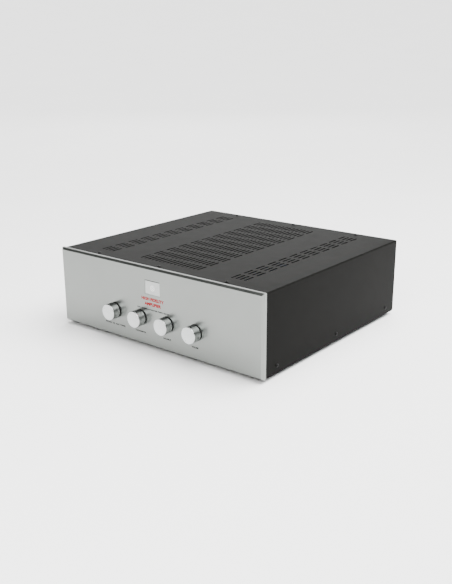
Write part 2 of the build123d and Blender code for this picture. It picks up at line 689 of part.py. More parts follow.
def transformer_brackets():
    """Angle feet, one at the front and one at the back of each core."""
    feet = []
    for x, y, size, leg, stack in TRANSFORMERS:
        span = (x - size[0] / 2, x + size[0] / 2)
        for side in (-1, 1):
            face = y + side * (stack / 2 + BRACKET_GAP)
            wall = sorted((face, face + side * BRACKET_T))
            toe = sorted((face, face + side * BRACKET_TOE))
            foot = block(span, wall, (FLOOR_TOP, CORE_BASE + leg / 2 - 1))
            foot += block(span, toe, (FLOOR_TOP, FLOOR_TOP + BRACKET_T))
            for dx, dz in bolt_places(size, leg):
                through = (wall[0] - OVER, wall[1] + OVER)
                foot -= rod_y(BOLT_R + GAP, x + dx, through, CORE_BASE + size[1] / 2 + dz)
            feet.append(foot)
    through = (FLOOR_TOP - OVER, FLOOR_TOP + BRACKET_T + OVER)
    holes = [rod_z(BOLT_R + GAP, x, y, through) for x, y in bracket_screw_places()]
    return group([foot - holes for foot in feet])


def transformer_bolts():
    """Long bolt and nut at each corner of each core."""
    pieces = []
    for x, y, size, leg, stack in TRANSFORMERS:
        reach = stack / 2 + BRACKET_GAP + BRACKET_T
        front, back = y - reach, y + reach
        for dx, dz in bolt_places(size, leg):
            z = CORE_BASE + size[1] / 2 + dz
            shank = rod_y(BOLT_R, x + dx, (front, back + BOLT_TAIL), z)
            pieces.append(shank + hex_y(BOLT_HEX, x + dx, (front - BOLT_HEAD_T, front), z))
            pieces.append(nut_y(BOLT_HEX, BOLT_R + GAP, x + dx, (back, back + BOLT_NUT_T), z))
    return group(pieces)


def bracket_screws():
    """Screw above and nut below the floor, at each end of each bracket."""
    head_r, head_t = BRACKET_SCREW_HEAD
    seat = FLOOR_TOP + BRACKET_T
    nut_base = FLOOR_BASE - BOLT_NUT_T
    screw = rod_z(head_r, 0, 0, (seat, seat + head_t)) + rod_z(BOLT_R, 0, 0, (nut_base, seat))
    nut = hexagon(BOLT_HEX, BOLT_NUT_T) - upright(BOLT_R + GAP, BOLT_NUT_T + OVER)
    pieces = []
    for x, y in bracket_screw_places():
        pieces.append(Pos(x, y, 0) * screw)
        pieces.append(Pos(x, y, nut_base) * nut)
    return group(pieces)


# ================================================================ circuit board
def circuit_board():
    """Board that carries the valves and the supply capacitors."""
    board = block(BOARD_X, BOARD_Y, (BOARD_Z, BOARD_TOP))
    return board - [rod_z(M3_CLEAR, x, y, (BOARD_Z - OVER, BOARD_TOP + OVER)) for x, y in PILLARS]


def board_pillars():
    """Hexagon pillars, each with a screw on top."""
    height = BOARD_Z - FLOOR_TOP
    pillar = hexagon(PILLAR_HEX, height) - rod_z(M3_TAPPED, 0, 0, (height - PILLAR_THREAD, height + OVER))
    screw = button_screw(PILLAR_THREAD - 1.0)
    pieces = []
    for x, y in PILLARS:
        pieces.append(Pos(x, y, FLOOR_TOP) * pillar)
        pieces.append(Pos(x, y, BOARD_TOP) * screw)
    return group(pieces)


def valve_sockets():
    """Ceramic nine-pin sockets."""
    body = upright(SOCKET_R, SOCKET_H)
    body = chamfer(body.edges().sort_by(Axis.Z)[-1], 1.0)
    for pin in range(SOCKET_PINS):
        turn = 2 * math.pi * pin / (SOCKET_PINS + 1)
        x, y = SOCKET_PIN_CIRCLE * math.cos(turn), SOCKET_PIN_CIRCLE * math.sin(turn)
        body -= rod_z(SOCKET_PIN_R, x, y, (SOCKET_H - SOCKET_PIN_DEPTH, SOCKET_H + OVER))
    return group([Pos(x, y, BOARD_TOP) * body for x, y, _ in VALVES])


def bulb(r, height):
    """Solid outline of a valve's envelope, standing on z = 0."""
    return upright(r, height - r) + Pos(0, 0, height - r) * Sphere(r)


def valve_glasses():
    """Glass envelopes with a sealed tip, open at the socket."""
    base_r, tip_r, tip_h = GLASS_TIP
    tip = Cone(base_r, tip_r, tip_h, align=(Align.CENTER, Align.CENTER, Align.MIN))
    glasses = []
    for x, y, height in VALVES:
        outer = bulb(VALVE_R, height) + Pos(0, 0, height - OVER) * tip
        inner = Pos(0, 0, -OVER) * bulb(VALVE_R - GLASS_T, height - GLASS_T + OVER)
        glasses.append(Pos(x, y, BOARD_TOP + SOCKET_H) * (outer - inner))
    return group(glasses)


def valve_electrodes():
    """Glass button, support rods, mica discs and anode inside each valve."""
    mica_r, mica_t = MICA
    rod_reach, rod_r = GRID_ROD
    stacks = []
    for x, y, height in VALVES:
        low = height * 0.2
        anode = height * 0.45
        pieces = [upright(VALVE_R - GLASS_T - 0.3, VALVE_BUTTON_T)]
        pieces.append(rod_z(mica_r, 0, 0, (low, low + mica_t)))
        pieces.append(rod_z(mica_r, 0, 0, (low + anode, low + anode + mica_t)))
        pieces.append(rod_z(ANODE_R, 0, 0, (low, low + anode)))
        pieces += [rod_z(rod_r, side * rod_reach, 0, (0, low + anode)) for side in (-1, 1)]
        stacks.append(Pos(x, y, BOARD_TOP + SOCKET_H) * joined(pieces))
    return group(stacks)


def supply_capacitors():
    """Four electrolytic capacitors with a crimp groove and scored tops."""
    crimp_z, crimp_w, crimp_depth = CRIMP
    length, width, depth = SCORE
    can = upright(CAPACITOR_R, CAPACITOR_H)
    can = fillet(can.edges().sort_by(Axis.Z)[-1], 1.5)
    crimp = upright(CAPACITOR_R + OVER, crimp_w) - upright(CAPACITOR_R - crimp_depth, crimp_w)
    can -= Pos(0, 0, crimp_z) * crimp
    can -= centred_block(0, 0, CAPACITOR_H, (length, width, depth))
    can -= centred_block(0, 0, CAPACITOR_H, (width, length, depth))
    return group([Pos(x, y, BOARD_TOP) * can for x, y in CAPACITORS])


# ================================================================ line sockets
def line_places(*rows):
    """Centres (x, z) of the line sockets in the named rows."""
    return [(x, LINE_ROW_Z[row]) for x in LINE_X for row in rows]


def input_socket_shells():
    """Outer contact of each coaxial socket: thread, hexagon and barrel."""
    across, thick = LINE_HEX
    shells = []
    for x, z in line_places(*LINE_ROW_Z):
        barrel = rod_y(LINE_BARREL_R, x, (LINE_FACE + thick, LINE_END), z)
        barrel = chamfer(barrel.edges().sort_by(Axis.Y)[-1], 0.3)
        nut = hex_y(across, x, (LINE_FACE, LINE_FACE + thick), z)
        thread = rod_y(LINE_THREAD_R, x, (LINE_TAIL, LINE_FACE), z)
        bore = rod_y(LINE_BORE_R, x, (LINE_TAIL - OVER, LINE_END + OVER), z)
        shells.append(joined([nut, barrel, thread]) - bore)
    return group(shells)


def input_socket_washers():
    """Shouldered insulating washer outside the panel and a plain one inside, at each socket."""
    outer_r, thick = LINE_WASHER
    back_r, back_t = LINE_BACK_WASHER
    washers = []
    for x, z in line_places(*LINE_ROW_Z):
        bore = rod_y(LINE_THREAD_R + GAP, x, (REAR_INNER - 5, LINE_FACE + OVER), z)
        outer = rod_y(outer_r, x, (REAR_FACE, REAR_FACE + thick), z)
        boss = rod_y(LINE_HOLE_R - GAP, x, (REAR_INNER + GAP, REAR_FACE), z)
        washers.append(outer + boss - bore)
        washers.append(rod_y(back_r, x, (REAR_INNER - back_t, REAR_INNER), z) - bore)
    return group(washers)


def socket_cores(row):
    """Coloured insulator inside each socket of one row."""
    span = (LINE_TAIL + 1, LINE_END - 0.6)
    places = line_places(row)
    return group([tube_y(LINE_BORE_R - 0.05, LINE_CONTACT_R + 0.05, x, span, z) for x, z in places])


def input_socket_contacts():
    """Centre contact sleeve of each socket, with a solder tail."""
    tag_r, tag_l = LINE_TAG
    mouth = LINE_END - 0.8
    contacts = []
    for x, z in line_places(*LINE_ROW_Z):
        sleeve = rod_y(LINE_CONTACT_R, x, (LINE_TAIL, mouth), z)
        sleeve -= rod_y(LINE_PIN_R, x, (LINE_PIN_START, mouth + OVER), z)
        contacts.append(sleeve + rod_y(tag_r, x, (LINE_TAIL - tag_l, LINE_TAIL), z))
    return group(contacts)


# ================================================================ speaker terminals
def speaker_studs():
    """Fixed studs, each with a socket for a plug, a cross hole for wire and a hexagon inside."""
    across, thick = STUD_HEX
    end = REAR_INNER - BUSH_BACK[1]
    studs = []
    for x in TERMINALS.values():
        stud = rod_y(STUD_R, x, (STUD_TAIL, STUD_END), REAR_Z)
        stud += hex_y(across, x, (end - thick, end), REAR_Z)
        stud -= rod_y(PLUG_R, x, (STUD_END - PLUG_DEPTH, STUD_END + OVER), REAR_Z)
        for y in (NUT_FRONT + 1.3, STUD_TAIL + 3.0):
            stud -= rod_z(CROSS_HOLE_R, x, y, (REAR_Z - STUD_R - OVER, REAR_Z + STUD_R + OVER))
        studs.append(stud)
    return group(studs)


def speaker_bushes():
    """Shouldered insulator outside the panel and a washer inside, at each terminal."""
    flange_r, flange_t, edge = BUSH_FLANGE
    back_r, back_t = BUSH_BACK
    pieces = []
    for x in TERMINALS.values():
        bore = rod_y(STUD_R + GAP, x, (REAR_INNER - 5, CLAMP_FACE + OVER), REAR_Z)
        flange = rod_y(flange_r, x, (REAR_FACE, REAR_FACE + flange_t), REAR_Z)
        flange = chamfer(flange.edges().sort_by(Axis.Y)[-1], edge)
        boss = rod_y(TERMINAL_HOLE_R - GAP, x, (REAR_INNER + GAP, REAR_FACE), REAR_Z)
        pieces.append(flange + boss - bore)
        pieces.append(rod_y(back_r, x, (REAR_INNER - back_t, REAR_INNER), REAR_Z) - bore)
    return group(pieces)


def clamp_washer(name):
    """Plain washer that the thumb nut presses on the wire."""
    r, thick = CLAMP_WASHER
    start = CLAMP_FACE + CLAMP_GAP
    return tube_y(r, STUD_R + RUN, TERMINALS[name], (start, start + thick), REAR_Z)


def thumb_nut(name):
    """Fluted thumb nut of one speaker terminal."""
    points = []
    for index in range(2 * NUT_FLUTES):
        turn = math.pi * index / NUT_FLUTES
        radius = NUT_R if index % 2 else NUT_R - NUT_FLUTE_DEPTH
        points.append((radius * math.cos(turn), radius * math.sin(turn)))
    length = TERMINAL_END - NUT_FRONT
    fluted = extrude(make_face(Polyline(*points, close=True)), length)
    ends = upright(NUT_R, length)
    ends = chamfer(ends.edges().filter_by(GeomType.CIRCLE), NUT_CHAMFER)
    outer_r, inner_r, depth, from_end = NUT_GROOVE
    groove = upright(outer_r, depth) - upright(inner_r, depth)
    body = (fluted & ends) - Pos(0, 0, -OVER) * upright(STUD_R + RUN, length + 2 * OVER)
    body -= Pos(0, 0, length - from_end) * groove
    return Pos(TERMINALS[name], NUT_FRONT, REAR_Z) * Rot(-90, 0, 0) * body


# ================================================================ mains inlet and power switch
def mains_inlet():
    """Moulded inlet: a socket for the mains lead below, a well for the fuse drawer above."""
    flange = centred_block(INLET_X, (REAR_FACE + INLET_FACE) / 2, REAR_Z, INLET_FLANGE)
    flange = chamfer(flange.faces().sort_by(Axis.Y)[-1].edges(), 1.0)
    body = centred_block(INLET_X, REAR_FACE - INLET_BODY[1] / 2, REAR_Z, INLET_BODY)
    cavity = centred_block(INLET_X, INLET_FACE - CAVITY[1] / 2, CAVITY_Z, CAVITY)
    upper = [edge for edge in cavity.edges().filter_by(Axis.Y) if edge.center().Z > CAVITY_Z]
    cavity = chamfer(upper, CAVITY_CHAMFER)
    well = centred_block(INLET_X, INLET_FACE - DRAWER_WELL[1] / 2, DRAWER_Z, DRAWER_WELL)
    shell = flange + body - cavity - well
    for dx, dz in BLADE_PLACES:
        slit = (BLADE[0] + 2 * GAP, INLET_BODY[1], BLADE[1] + 2 * GAP)
        shell -= centred_block(INLET_X + dx, REAR_FACE - INLET_BODY[1], CAVITY_Z + dz, slit)
    return shell


def inlet_pins():
    """Live, earth and neutral blades, with tails behind the inlet."""
    thick, height = BLADE
    tip = INLET_FACE - CAVITY[1] + BLADE_L
    blade = block((-thick / 2, thick / 2), (BLADE_TAIL, tip), (-height / 2, height / 2))
    blade = chamfer(blade.faces().sort_by(Axis.Y)[-1].edges(), thick / 4)
    return group([Pos(INLET_X + dx, 0, CAVITY_Z + dz) * blade for dx, dz in BLADE_PLACES])


def fuse_drawer():
    """Small drawer with a trough for the fuse and a finger lip."""
    width, depth, height = DRAWER_WELL
    back = INLET_FACE - depth + 1.0
    half_w = width / 2 - DRAWER_GAP
    half_h = height / 2 - DRAWER_GAP
    x = (INLET_X - half_w, INLET_X + half_w)
    z = (DRAWER_Z - half_h, DRAWER_Z + half_h)
    trough_x = (INLET_X - FUSE_R - 0.3, INLET_X + FUSE_R + 0.3)
    trough_y = (back + 1.0, back + 1.0 + FUSE_L + 0.6)
    body = block(x, (back, INLET_FACE), z)
    body += centred_block(INLET_X, INLET_FACE + DRAWER_LIP[1] / 2 - GAP, z[1] - 1.0, DRAWER_LIP)
    return body - block(trough_x, trough_y, (z[0] + 1.2, z[1] + OVER))


def fuse():
    """Glass fuse with metal end caps."""
    start = INLET_FACE - DRAWER_WELL[1] + 2.3
    z = DRAWER_Z - DRAWER_WELL[2] / 2 + DRAWER_GAP + 1.2 + FUSE_R + 0.02
    tube = rod_y(FUSE_R - 0.3, INLET_X, (start, start + FUSE_L), z)
    caps = [rod_y(FUSE_R, INLET_X, (y, y + FUSE_CAP), z) for y in (start, start + FUSE_L - FUSE_CAP)]
    return joined([tube, *caps])


def rocker_frame():
    """Snap-in switch body with a raised bezel, tags and two pivot holes."""
    bezel = centred_block(ROCKER_X, REAR_FACE + ROCKER_BEZEL[1] / 2, REAR_Z, ROCKER_BEZEL)
    bezel = chamfer(bezel.faces().sort_by(Axis.Y)[-1].edges(), 0.8)
    body = centred_block(ROCKER_X, REAR_FACE - ROCKER_BODY[1] / 2, REAR_Z, ROCKER_BODY)
    width, depth, height = ROCKER_WELL
    well = centred_block(ROCKER_X, REAR_FACE - depth / 2, REAR_Z, ROCKER_WELL)
    well += centred_block(ROCKER_X, REAR_FACE + ROCKER_BEZEL[1] / 2, REAR_Z, (width, 2 * depth, height))
    frame = bezel + body - well
    reach = ROCKER_PIVOT_X + GAP
    frame -= rod_x(ROCKER_PIVOT_R + RUN, (ROCKER_X - reach, ROCKER_X + reach), ROCKER_PIVOT_Y, REAR_Z)
    tag_y = REAR_FACE - ROCKER_BODY[1] - ROCKER_TAG[1] / 2 + 0.5
    for dz in (-6.0, 0.0, 6.0):
        frame += centred_block(ROCKER_X, tag_y, REAR_Z + dz, ROCKER_TAG)
    return frame


def power_rocker():
    """Rocker button on its pivot pins, tilted to the off position."""
    h = ROCKER_HALF_H
    half = [(0.0, 4.1), (h, 5.2), (h, 0.5), (0.4 * h, -2.5)]  # height and depth of one half of the outline
    outline = half + [(-z, y) for z, y in reversed(half[1:])]
    side = Plane.YZ * make_face(Polyline(*[(y, z) for z, y in outline], close=True))
    body = Pos(-ROCKER_HALF_W, 0, 0) * extrude(side, 2 * ROCKER_HALF_W)
    body += rod_x(ROCKER_PIVOT_R, (-ROCKER_PIVOT_X, ROCKER_PIVOT_X), 0, 0)
    return Pos(ROCKER_X, ROCKER_PIVOT_Y, REAR_Z) * Rot(ROCKER_TILT, 0, 0) * body


# ================================================================ all nodes
def make_nodes():
    """Every sub-part of the amplifier by its name."""
    nodes = {
        "front_panel": front_panel(),
        "badge_plate": badge_plate(),
        "front_subpanel": front_subpanel(),
        "rear_panel": rear_panel(),
        "rear_flanges": rear_flanges(),
        "base_tray": base_tray(),
        "top_cover": top_cover(),
        "cover_screws": cover_screws(),
        "frame_screws": frame_screws(),
        "rubber_feet": rubber_feet(),
        "foot_screws": foot_screws(),
        "knob_washers": knob_washers(),
        "panel_nuts": panel_nuts(),
        "selector_switch": rotary_switch("selector"),
        "monitor_switch": rotary_switch("monitor"),
        "balance_potentiometer": potentiometer("balance"),
        "volume_potentiometer": potentiometer("volume"),
        "transformer_cores": group([transformer_core(*item) for item in TRANSFORMERS]),
        "transformer_coils": group([transformer_coil(*item) for item in TRANSFORMERS]),
        "transformer_brackets": transformer_brackets(),
        "transformer_bolts": group([transformer_bolts(), bracket_screws()]),
        "circuit_board": circuit_board(),
        "board_pillars": board_pillars(),
        "valve_sockets": valve_sockets(),
        "valve_glasses": valve_glasses(),
        "valve_electrodes": valve_electrodes(),
        "supply_capacitors": supply_capacitors(),
        "input_socket_shells": input_socket_shells(),
        "input_socket_washers": input_socket_washers(),
        "left_socket_cores": socket_cores("left"),
        "right_socket_cores": socket_cores("right"),
        "input_socket_contacts": input_socket_contacts(),
        "speaker_studs": speaker_studs(),
        "speaker_bushes": speaker_bushes(),
        "mains_inlet": mains_inlet(),
        "inlet_pins": inlet_pins(),
        "fuse_drawer": fuse_drawer(),
        "fuse": fuse(),
        "rocker_frame": rocker_frame(),
        "power_rocker": power_rocker(),
    }
    for name in KNOB_X:
        nodes[f"{name}_knob"] = knob(name)
        nodes[f"{name}_grub_screw"] = grub_screw(name)
        nodes[f"{name}_shaft"] = shaft(name)
    for name in TERMINALS:
        nodes[f"{name}_washer"] = clamp_washer(name)
        nodes[f"{name}_nut"] = thumb_nut(name)
    return nodes


os.makedirs("parts", exist_ok=True)
for node_name, shape in make_nodes().items():
    export_step(shape, f"parts/{node_name}.step")
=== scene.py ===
"""Looks of a full-width stereo amplifier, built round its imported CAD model.

Metres, +Z up, the front panel faces -Y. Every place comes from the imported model's own boxes.
"""

import json
import math

import bmesh
import bpy
from mathutils import Matrix, Vector


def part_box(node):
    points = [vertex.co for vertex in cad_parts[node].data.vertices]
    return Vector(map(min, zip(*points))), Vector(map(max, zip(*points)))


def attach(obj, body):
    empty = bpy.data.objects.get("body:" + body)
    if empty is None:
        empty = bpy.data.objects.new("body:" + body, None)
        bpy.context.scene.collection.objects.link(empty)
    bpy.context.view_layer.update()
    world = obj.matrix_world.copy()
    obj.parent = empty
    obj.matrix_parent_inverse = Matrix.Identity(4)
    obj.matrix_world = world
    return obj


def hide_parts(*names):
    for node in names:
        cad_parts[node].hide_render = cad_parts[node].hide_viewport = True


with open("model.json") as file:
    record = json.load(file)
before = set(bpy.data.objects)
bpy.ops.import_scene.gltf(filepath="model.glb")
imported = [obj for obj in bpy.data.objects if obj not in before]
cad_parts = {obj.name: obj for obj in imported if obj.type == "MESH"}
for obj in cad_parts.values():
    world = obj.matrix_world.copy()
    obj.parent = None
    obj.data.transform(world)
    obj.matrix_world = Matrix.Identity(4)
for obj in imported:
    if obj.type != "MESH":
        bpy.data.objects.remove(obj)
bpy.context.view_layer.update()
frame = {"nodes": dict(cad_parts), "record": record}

MM = 0.001
X_AXIS = Vector((1, 0, 0))
Y_AXIS = Vector((0, 1, 0))
Z_AXIS = Vector((0, 0, 1))
FRONT = -Y_AXIS
CONTROLS = ("selector", "monitor", "balance", "volume")
TERMINALS = ("right_positive", "right_negative", "left_positive", "left_negative")
PANEL_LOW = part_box("front_panel")[0]
KNOB_Z = sum(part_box("selector_knob"), Vector()).z / 2

HERE = Matrix.Identity(4)


# ================================================================ camera, floor and light
CAMERA_AZIMUTH = 38.97
CAMERA_ELEVATION = 17.62
CAMERA_ROLL = -0.295
CAMERA_DISTANCE = 1.4293
CAMERA_TARGET = Vector((-8.5, -10.0, 50.4)) * MM
CAMERA_LENS = 48.07
SENSOR = 36.0


def make_camera():
    data = bpy.data.cameras.new("camera")
    data.sensor_fit = "AUTO"
    data.sensor_width = SENSOR
    data.lens = CAMERA_LENS
    data.clip_start = 0.01
    data.clip_end = 60.0
    camera = bpy.data.objects.new("camera", data)
    bpy.context.scene.collection.objects.link(camera)
    azimuth = math.radians(CAMERA_AZIMUTH)
    elevation = math.radians(CAMERA_ELEVATION)
    back = Vector(
        (
            math.sin(azimuth) * math.cos(elevation),
            -math.cos(azimuth) * math.cos(elevation),
            math.sin(elevation),
        )
    )
    camera.location = CAMERA_TARGET + back * CAMERA_DISTANCE
    aim = (-back).to_track_quat("-Z", "Y").to_matrix()
    roll = Matrix.Rotation(math.radians(CAMERA_ROLL), 3, "Z")
    camera.rotation_euler = (aim @ roll).to_euler()
    bpy.context.scene.camera = camera


def area_light(name, place, target, size, power, colour=(1, 1, 1)):
    data = bpy.data.lights.new(name, "AREA")
    data.shape = "RECTANGLE"
    data.size, data.size_y = size
    data.energy = power
    data.color = colour
    light = bpy.data.objects.new(name, data)
    bpy.context.scene.collection.objects.link(light)
    light.location = place
    light.rotation_euler = (Vector(target) - Vector(place)).to_track_quat("-Z", "Y").to_euler()
    return light


WORLD_LIGHT = 0.2
SUN_IRRADIANCE = 10.5
SUN_SPREAD = 75.0  # degrees across, so that shadows are soft
KEY_POWER = 60.0
FRONT_POWER = 26.0
BACK_POWER = 29.0


def make_lights():
    """Dim even surroundings, a wide overhead light, and softboxes above the front and behind the back."""
    world = bpy.data.worlds.new("studio")
    bpy.context.scene.world = world
    world.use_nodes = True
    background = world.node_tree.nodes["Background"]
    background.inputs["Color"].default_value = (0.94, 0.95, 0.94, 1)
    background.inputs["Strength"].default_value = WORLD_LIGHT
    data = bpy.data.lights.new("overhead", "SUN")
    data.energy = SUN_IRRADIANCE
    data.angle = math.radians(SUN_SPREAD)
    sun = bpy.data.objects.new("overhead", data)
    bpy.context.scene.collection.objects.link(sun)
    sun.rotation_euler = (math.radians(-18), math.radians(12), 0)
    area_light("key", (0.8, 0.5, 1.6), (0, 0, 0), (1.6, 1.6), KEY_POWER)
    area_light("front_high", (0.45, -1.35, 1.0), (0, -0.2, 0.06), (1.2, 0.8), FRONT_POWER)
    area_light("back_left", (-2.3, 2.8, 1.55), (0, 0, 0.12), (2.4, 0.9), BACK_POWER)


FLOOR_FLAT = 2.5  # radius of the flat middle, in metres
FLOOR_REACH = 13.0
FLOOR_RISE = 1.6
FLOOR_RINGS = 16


def make_floor():
    """Pale floor, flat round the object, that rises gently far away and so hides the horizon."""
    profile = [(0, 0), (FLOOR_FLAT, 0)]
    for step in range(1, FLOOR_RINGS + 1):
        t = step / FLOOR_RINGS
        profile.append((FLOOR_FLAT + (FLOOR_REACH - FLOOR_FLAT) * t, FLOOR_RISE * t * t))
    bm = lathe(bmesh.new(), profile, HERE, segments=96)
    mesh = bpy.data.meshes.new("floor")
    bm.to_mesh(mesh)
    bm.free()
    mesh.shade_smooth()
    floor = bpy.data.objects.new("floor", mesh)
    bpy.context.scene.collection.objects.link(floor)
    mesh.materials.append(paper_floor())


# ================================================================ materials
class Shader:
    """A node material built one step at a time."""

    def __init__(self, name, **sockets):
        self.material = bpy.data.materials.new(name)
        self.material.use_nodes = True
        self.tree = self.material.node_tree
        self.surface = self.tree.nodes["Principled BSDF"]
        for socket, value in sockets.items():
            self.surface.inputs[socket.replace("_", " ")].default_value = value
        self.place = self.node("ShaderNodeTexCoord").outputs["Object"]

    def node(self, kind, inputs=None, **settings):
        made = self.tree.nodes.new(kind)
        for key, value in settings.items():
            setattr(made, key, value)
        for key, value in (inputs or {}).items():
            if isinstance(value, bpy.types.NodeSocket):
                self.tree.links.new(value, made.inputs[key])
            else:
                made.inputs[key].default_value = value
        return made

    def stretched(self, x, y, z):
        """The place on the object with each axis scaled."""
        return self.node("ShaderNodeMapping", {"Vector": self.place, "Scale": (x, y, z)}).outputs[0]

    def noise(self, scale, detail=2.0, place=None, roughness=0.5):
        inputs = {"Vector": place or self.place, "Scale": scale, "Detail": detail, "Roughness": roughness}
        return self.node("ShaderNodeTexNoise", inputs).outputs["Fac"]

    def span(self, value, low, high, source=(0.3, 0.7)):
        """The value mapped from its source range to low..high."""
        inputs = {
            "Value": value,
            "From Min": source[0],
            "From Max": source[1],
            "To Min": low,
            "To Max": high,
        }
        return self.node("ShaderNodeMapRange", inputs).outputs["Result"]

    def mix(self, factor, first, second):
        made = self.node("ShaderNodeMix", data_type="RGBA")
        for index, value in ((0, factor), (6, first), (7, second)):
            if isinstance(value, bpy.types.NodeSocket):
                self.tree.links.new(value, made.inputs[index])
            else:
                made.inputs[index].default_value = value
        return made.outputs[2]

    def colour(self, value):
        self.tree.links.new(value, self.surface.inputs["Base Color"])

    def roughness(self, value):
        self.tree.links.new(value, self.surface.inputs["Roughness"])

    def bump(self, *layers):
        """Stacked bumps, each (height, distance in metres, strength)."""
        normal = None
        for height, distance, strength in layers:
            inputs = {"Height": height, "Distance": distance, "Strength": strength}
            if normal:
                inputs["Normal"] = normal
            normal = self.node("ShaderNodeBump", inputs).outputs["Normal"]
        self.tree.links.new(normal, self.surface.inputs["Normal"])

    def edges(self, radius, low=0.02, high=0.35):
        """1 along convex and concave edges narrower than the radius, 0 on flat faces."""
        rounded = self.node("ShaderNodeBevel", {"Radius": radius}, samples=4).outputs["Normal"]
        true = self.node("ShaderNodeNewGeometry").outputs["Normal"]
        dot = self.node("ShaderNodeVectorMath", operation="DOT_PRODUCT")
        self.tree.links.new(rounded, dot.inputs[0])
        self.tree.links.new(true, dot.inputs[1])
        turned = self.node("ShaderNodeMath", {0: 1.0, 1: dot.outputs["Value"]}, operation="SUBTRACT")
        return self.span(turned.outputs[0], 0.0, 1.0, (low, high))


def shade(colour, factor):
    return (*[min(1.0, channel * factor) for channel in colour], 1.0)


def paper_floor():
    """Plain pale paper."""
    s = Shader("floor_paper", Roughness=0.85)
    s.colour(s.mix(s.span(s.noise(3.0), 0, 1), (0.80, 0.80, 0.795, 1), (0.815, 0.815, 0.81, 1)))
    return s.material


def blasted_aluminium():
    """Bead-blasted and anodised: even fine grain, faint cloudiness, brighter bevel edges."""
    s = Shader("blasted_aluminium", Metallic=1.0, Roughness=0.3)
    base = (0.205, 0.215, 0.205)
    cloud = s.span(s.noise(14.0, 4.0), 0, 1)
    speckle = s.span(s.noise(900.0, 1.0), 0, 1)
    tone = s.mix(cloud, shade(base, 0.97), shade(base, 1.03))
    tone = s.mix(s.span(speckle, 0.0, 0.35, (0, 1)), tone, shade(base, 1.12))
    s.colour(s.mix(s.edges(0.6 * MM), tone, shade(base, 1.25)))
    s.roughness(s.span(s.noise(60.0, 3.0), 0.28, 0.32))
    s.bump((s.noise(2600.0, 2.0), 0.05 * MM, 0.35), (s.noise(700.0, 2.0), 0.06 * MM, 0.12))
    return s.material


def turned_aluminium():
    """Turned and satin anodised: fine rings round the piece's own Z axis."""
    s = Shader("turned_aluminium", Metallic=1.0, Roughness=0.2, Anisotropic=0.4)
    base = (0.46, 0.475, 0.47)
    parts = s.node("ShaderNodeSeparateXYZ", {"Vector": s.place})
    flat = s.node("ShaderNodeCombineXYZ", {"X": parts.outputs["X"], "Y": parts.outputs["Y"]})
    radius = s.node("ShaderNodeVectorMath", {0: flat.outputs[0]}, operation="LENGTH").outputs["Value"]
    rings = s.node("ShaderNodeCombineXYZ", {"X": radius, "Y": parts.outputs["Z"]}).outputs[0]
    grooves = s.noise(5200.0, 2.0, rings)
    broad = s.noise(900.0, 2.0, rings)
    s.colour(s.mix(s.span(broad, 0, 1), shade(base, 0.93), shade(base, 1.04)))
    s.roughness(s.span(grooves, 0.16, 0.27))
    s.bump((grooves, 0.02 * MM, 0.25))
    return s.material


def powder_coat(name, base, grain=1500.0, rough=0.42, depth=0.30):
    """Baked paint: fine orange peel, slight sheen change, paler where the edges rub."""
    s = Shader(name, Roughness=rough, Specular_IOR_Level=0.025)
    tone = s.mix(s.span(s.noise(22.0, 4.0), 0, 1), shade(base, 0.96), shade(base, 1.04))
    speck = s.span(s.noise(2600.0, 1.0), 0.0, 0.4, (0.55, 0.75))
    tone = s.mix(speck, tone, shade(base, 1.5))
    s.colour(s.mix(s.edges(0.5 * MM), tone, shade(base, 1.7)))
    s.roughness(s.span(s.noise(45.0, 3.0), rough - 0.01, rough + 0.01))
    s.bump((s.noise(grain, 2.0), 0.05 * MM, depth), (s.noise(grain / 5, 2.0), 0.05 * MM, depth / 3))
    return s.material


def moulded(name, base, rough=0.4):
    """Moulded plastic with a fine spark-eroded grain."""
    s = Shader(name, Roughness=rough, Specular_IOR_Level=0.2)
    tone = s.mix(s.span(s.noise(70.0, 3.0), 0, 1), shade(base, 0.88), shade(base, 1.12))
    s.colour(s.mix(s.edges(0.4 * MM), tone, shade(base, 1.5)))
    s.roughness(s.span(s.noise(400.0, 2.0), rough - 0.06, rough + 0.08))
    s.bump((s.noise(2200.0, 2.0), 0.03 * MM, 0.3))
    return s.material


def rubber():
    s = Shader("rubber_black", Roughness=0.75, Specular_IOR_Level=0.15)
    base = (0.005, 0.005, 0.005)
    s.colour(s.mix(s.span(s.noise(120.0, 4.0), 0, 1), shade(base, 0.8), shade(base, 1.4)))
    s.bump((s.noise(900.0, 3.0), 0.08 * MM, 0.4))
    return s.material


def felt():
    # Nearly black felt: its black is painted shade, standing in for the shade in the gap behind each knob.
    s = Shader("felt_black_painted_shade", Roughness=0.95, Specular_IOR_Level=0.05)
    base = (0.004, 0.004, 0.004)
    s.colour(s.mix(s.span(s.noise(1500.0, 4.0), 0, 1), shade(base, 0.6), shade(base, 2.0)))
    s.bump((s.noise(1800.0, 4.0), 0.2 * MM, 0.8))
    return s.material


def plated(name, base, rough=0.24):
    """Plated metal with faint handling marks."""
    s = Shader(name, Metallic=1.0, Roughness=rough)
    tone = s.mix(s.span(s.noise(90.0, 4.0), 0, 1), shade(base, 0.86), shade(base, 1.08))
    s.colour(s.mix(s.edges(0.3 * MM), tone, shade(base, 1.2)))
    s.roughness(s.span(s.noise(300.0, 4.0), rough - 0.07, rough + 0.10))
    s.bump((s.noise(1400.0, 3.0), 0.02 * MM, 0.2))
    return s.material


def black_oxide():
    s = Shader("black_oxide", Roughness=0.38, Specular_IOR_Level=0.1)
    base = (0.003, 0.003, 0.003)
    s.colour(s.mix(s.edges(0.3 * MM), shade(base, 1.0), shade(base, 2.4)))
    s.roughness(s.span(s.noise(700.0, 3.0), 0.32, 0.46))
    s.bump((s.noise(2400.0, 2.0), 0.02 * MM, 0.3))
    return s.material


LAMINATION_PITCH = 0.5 * MM


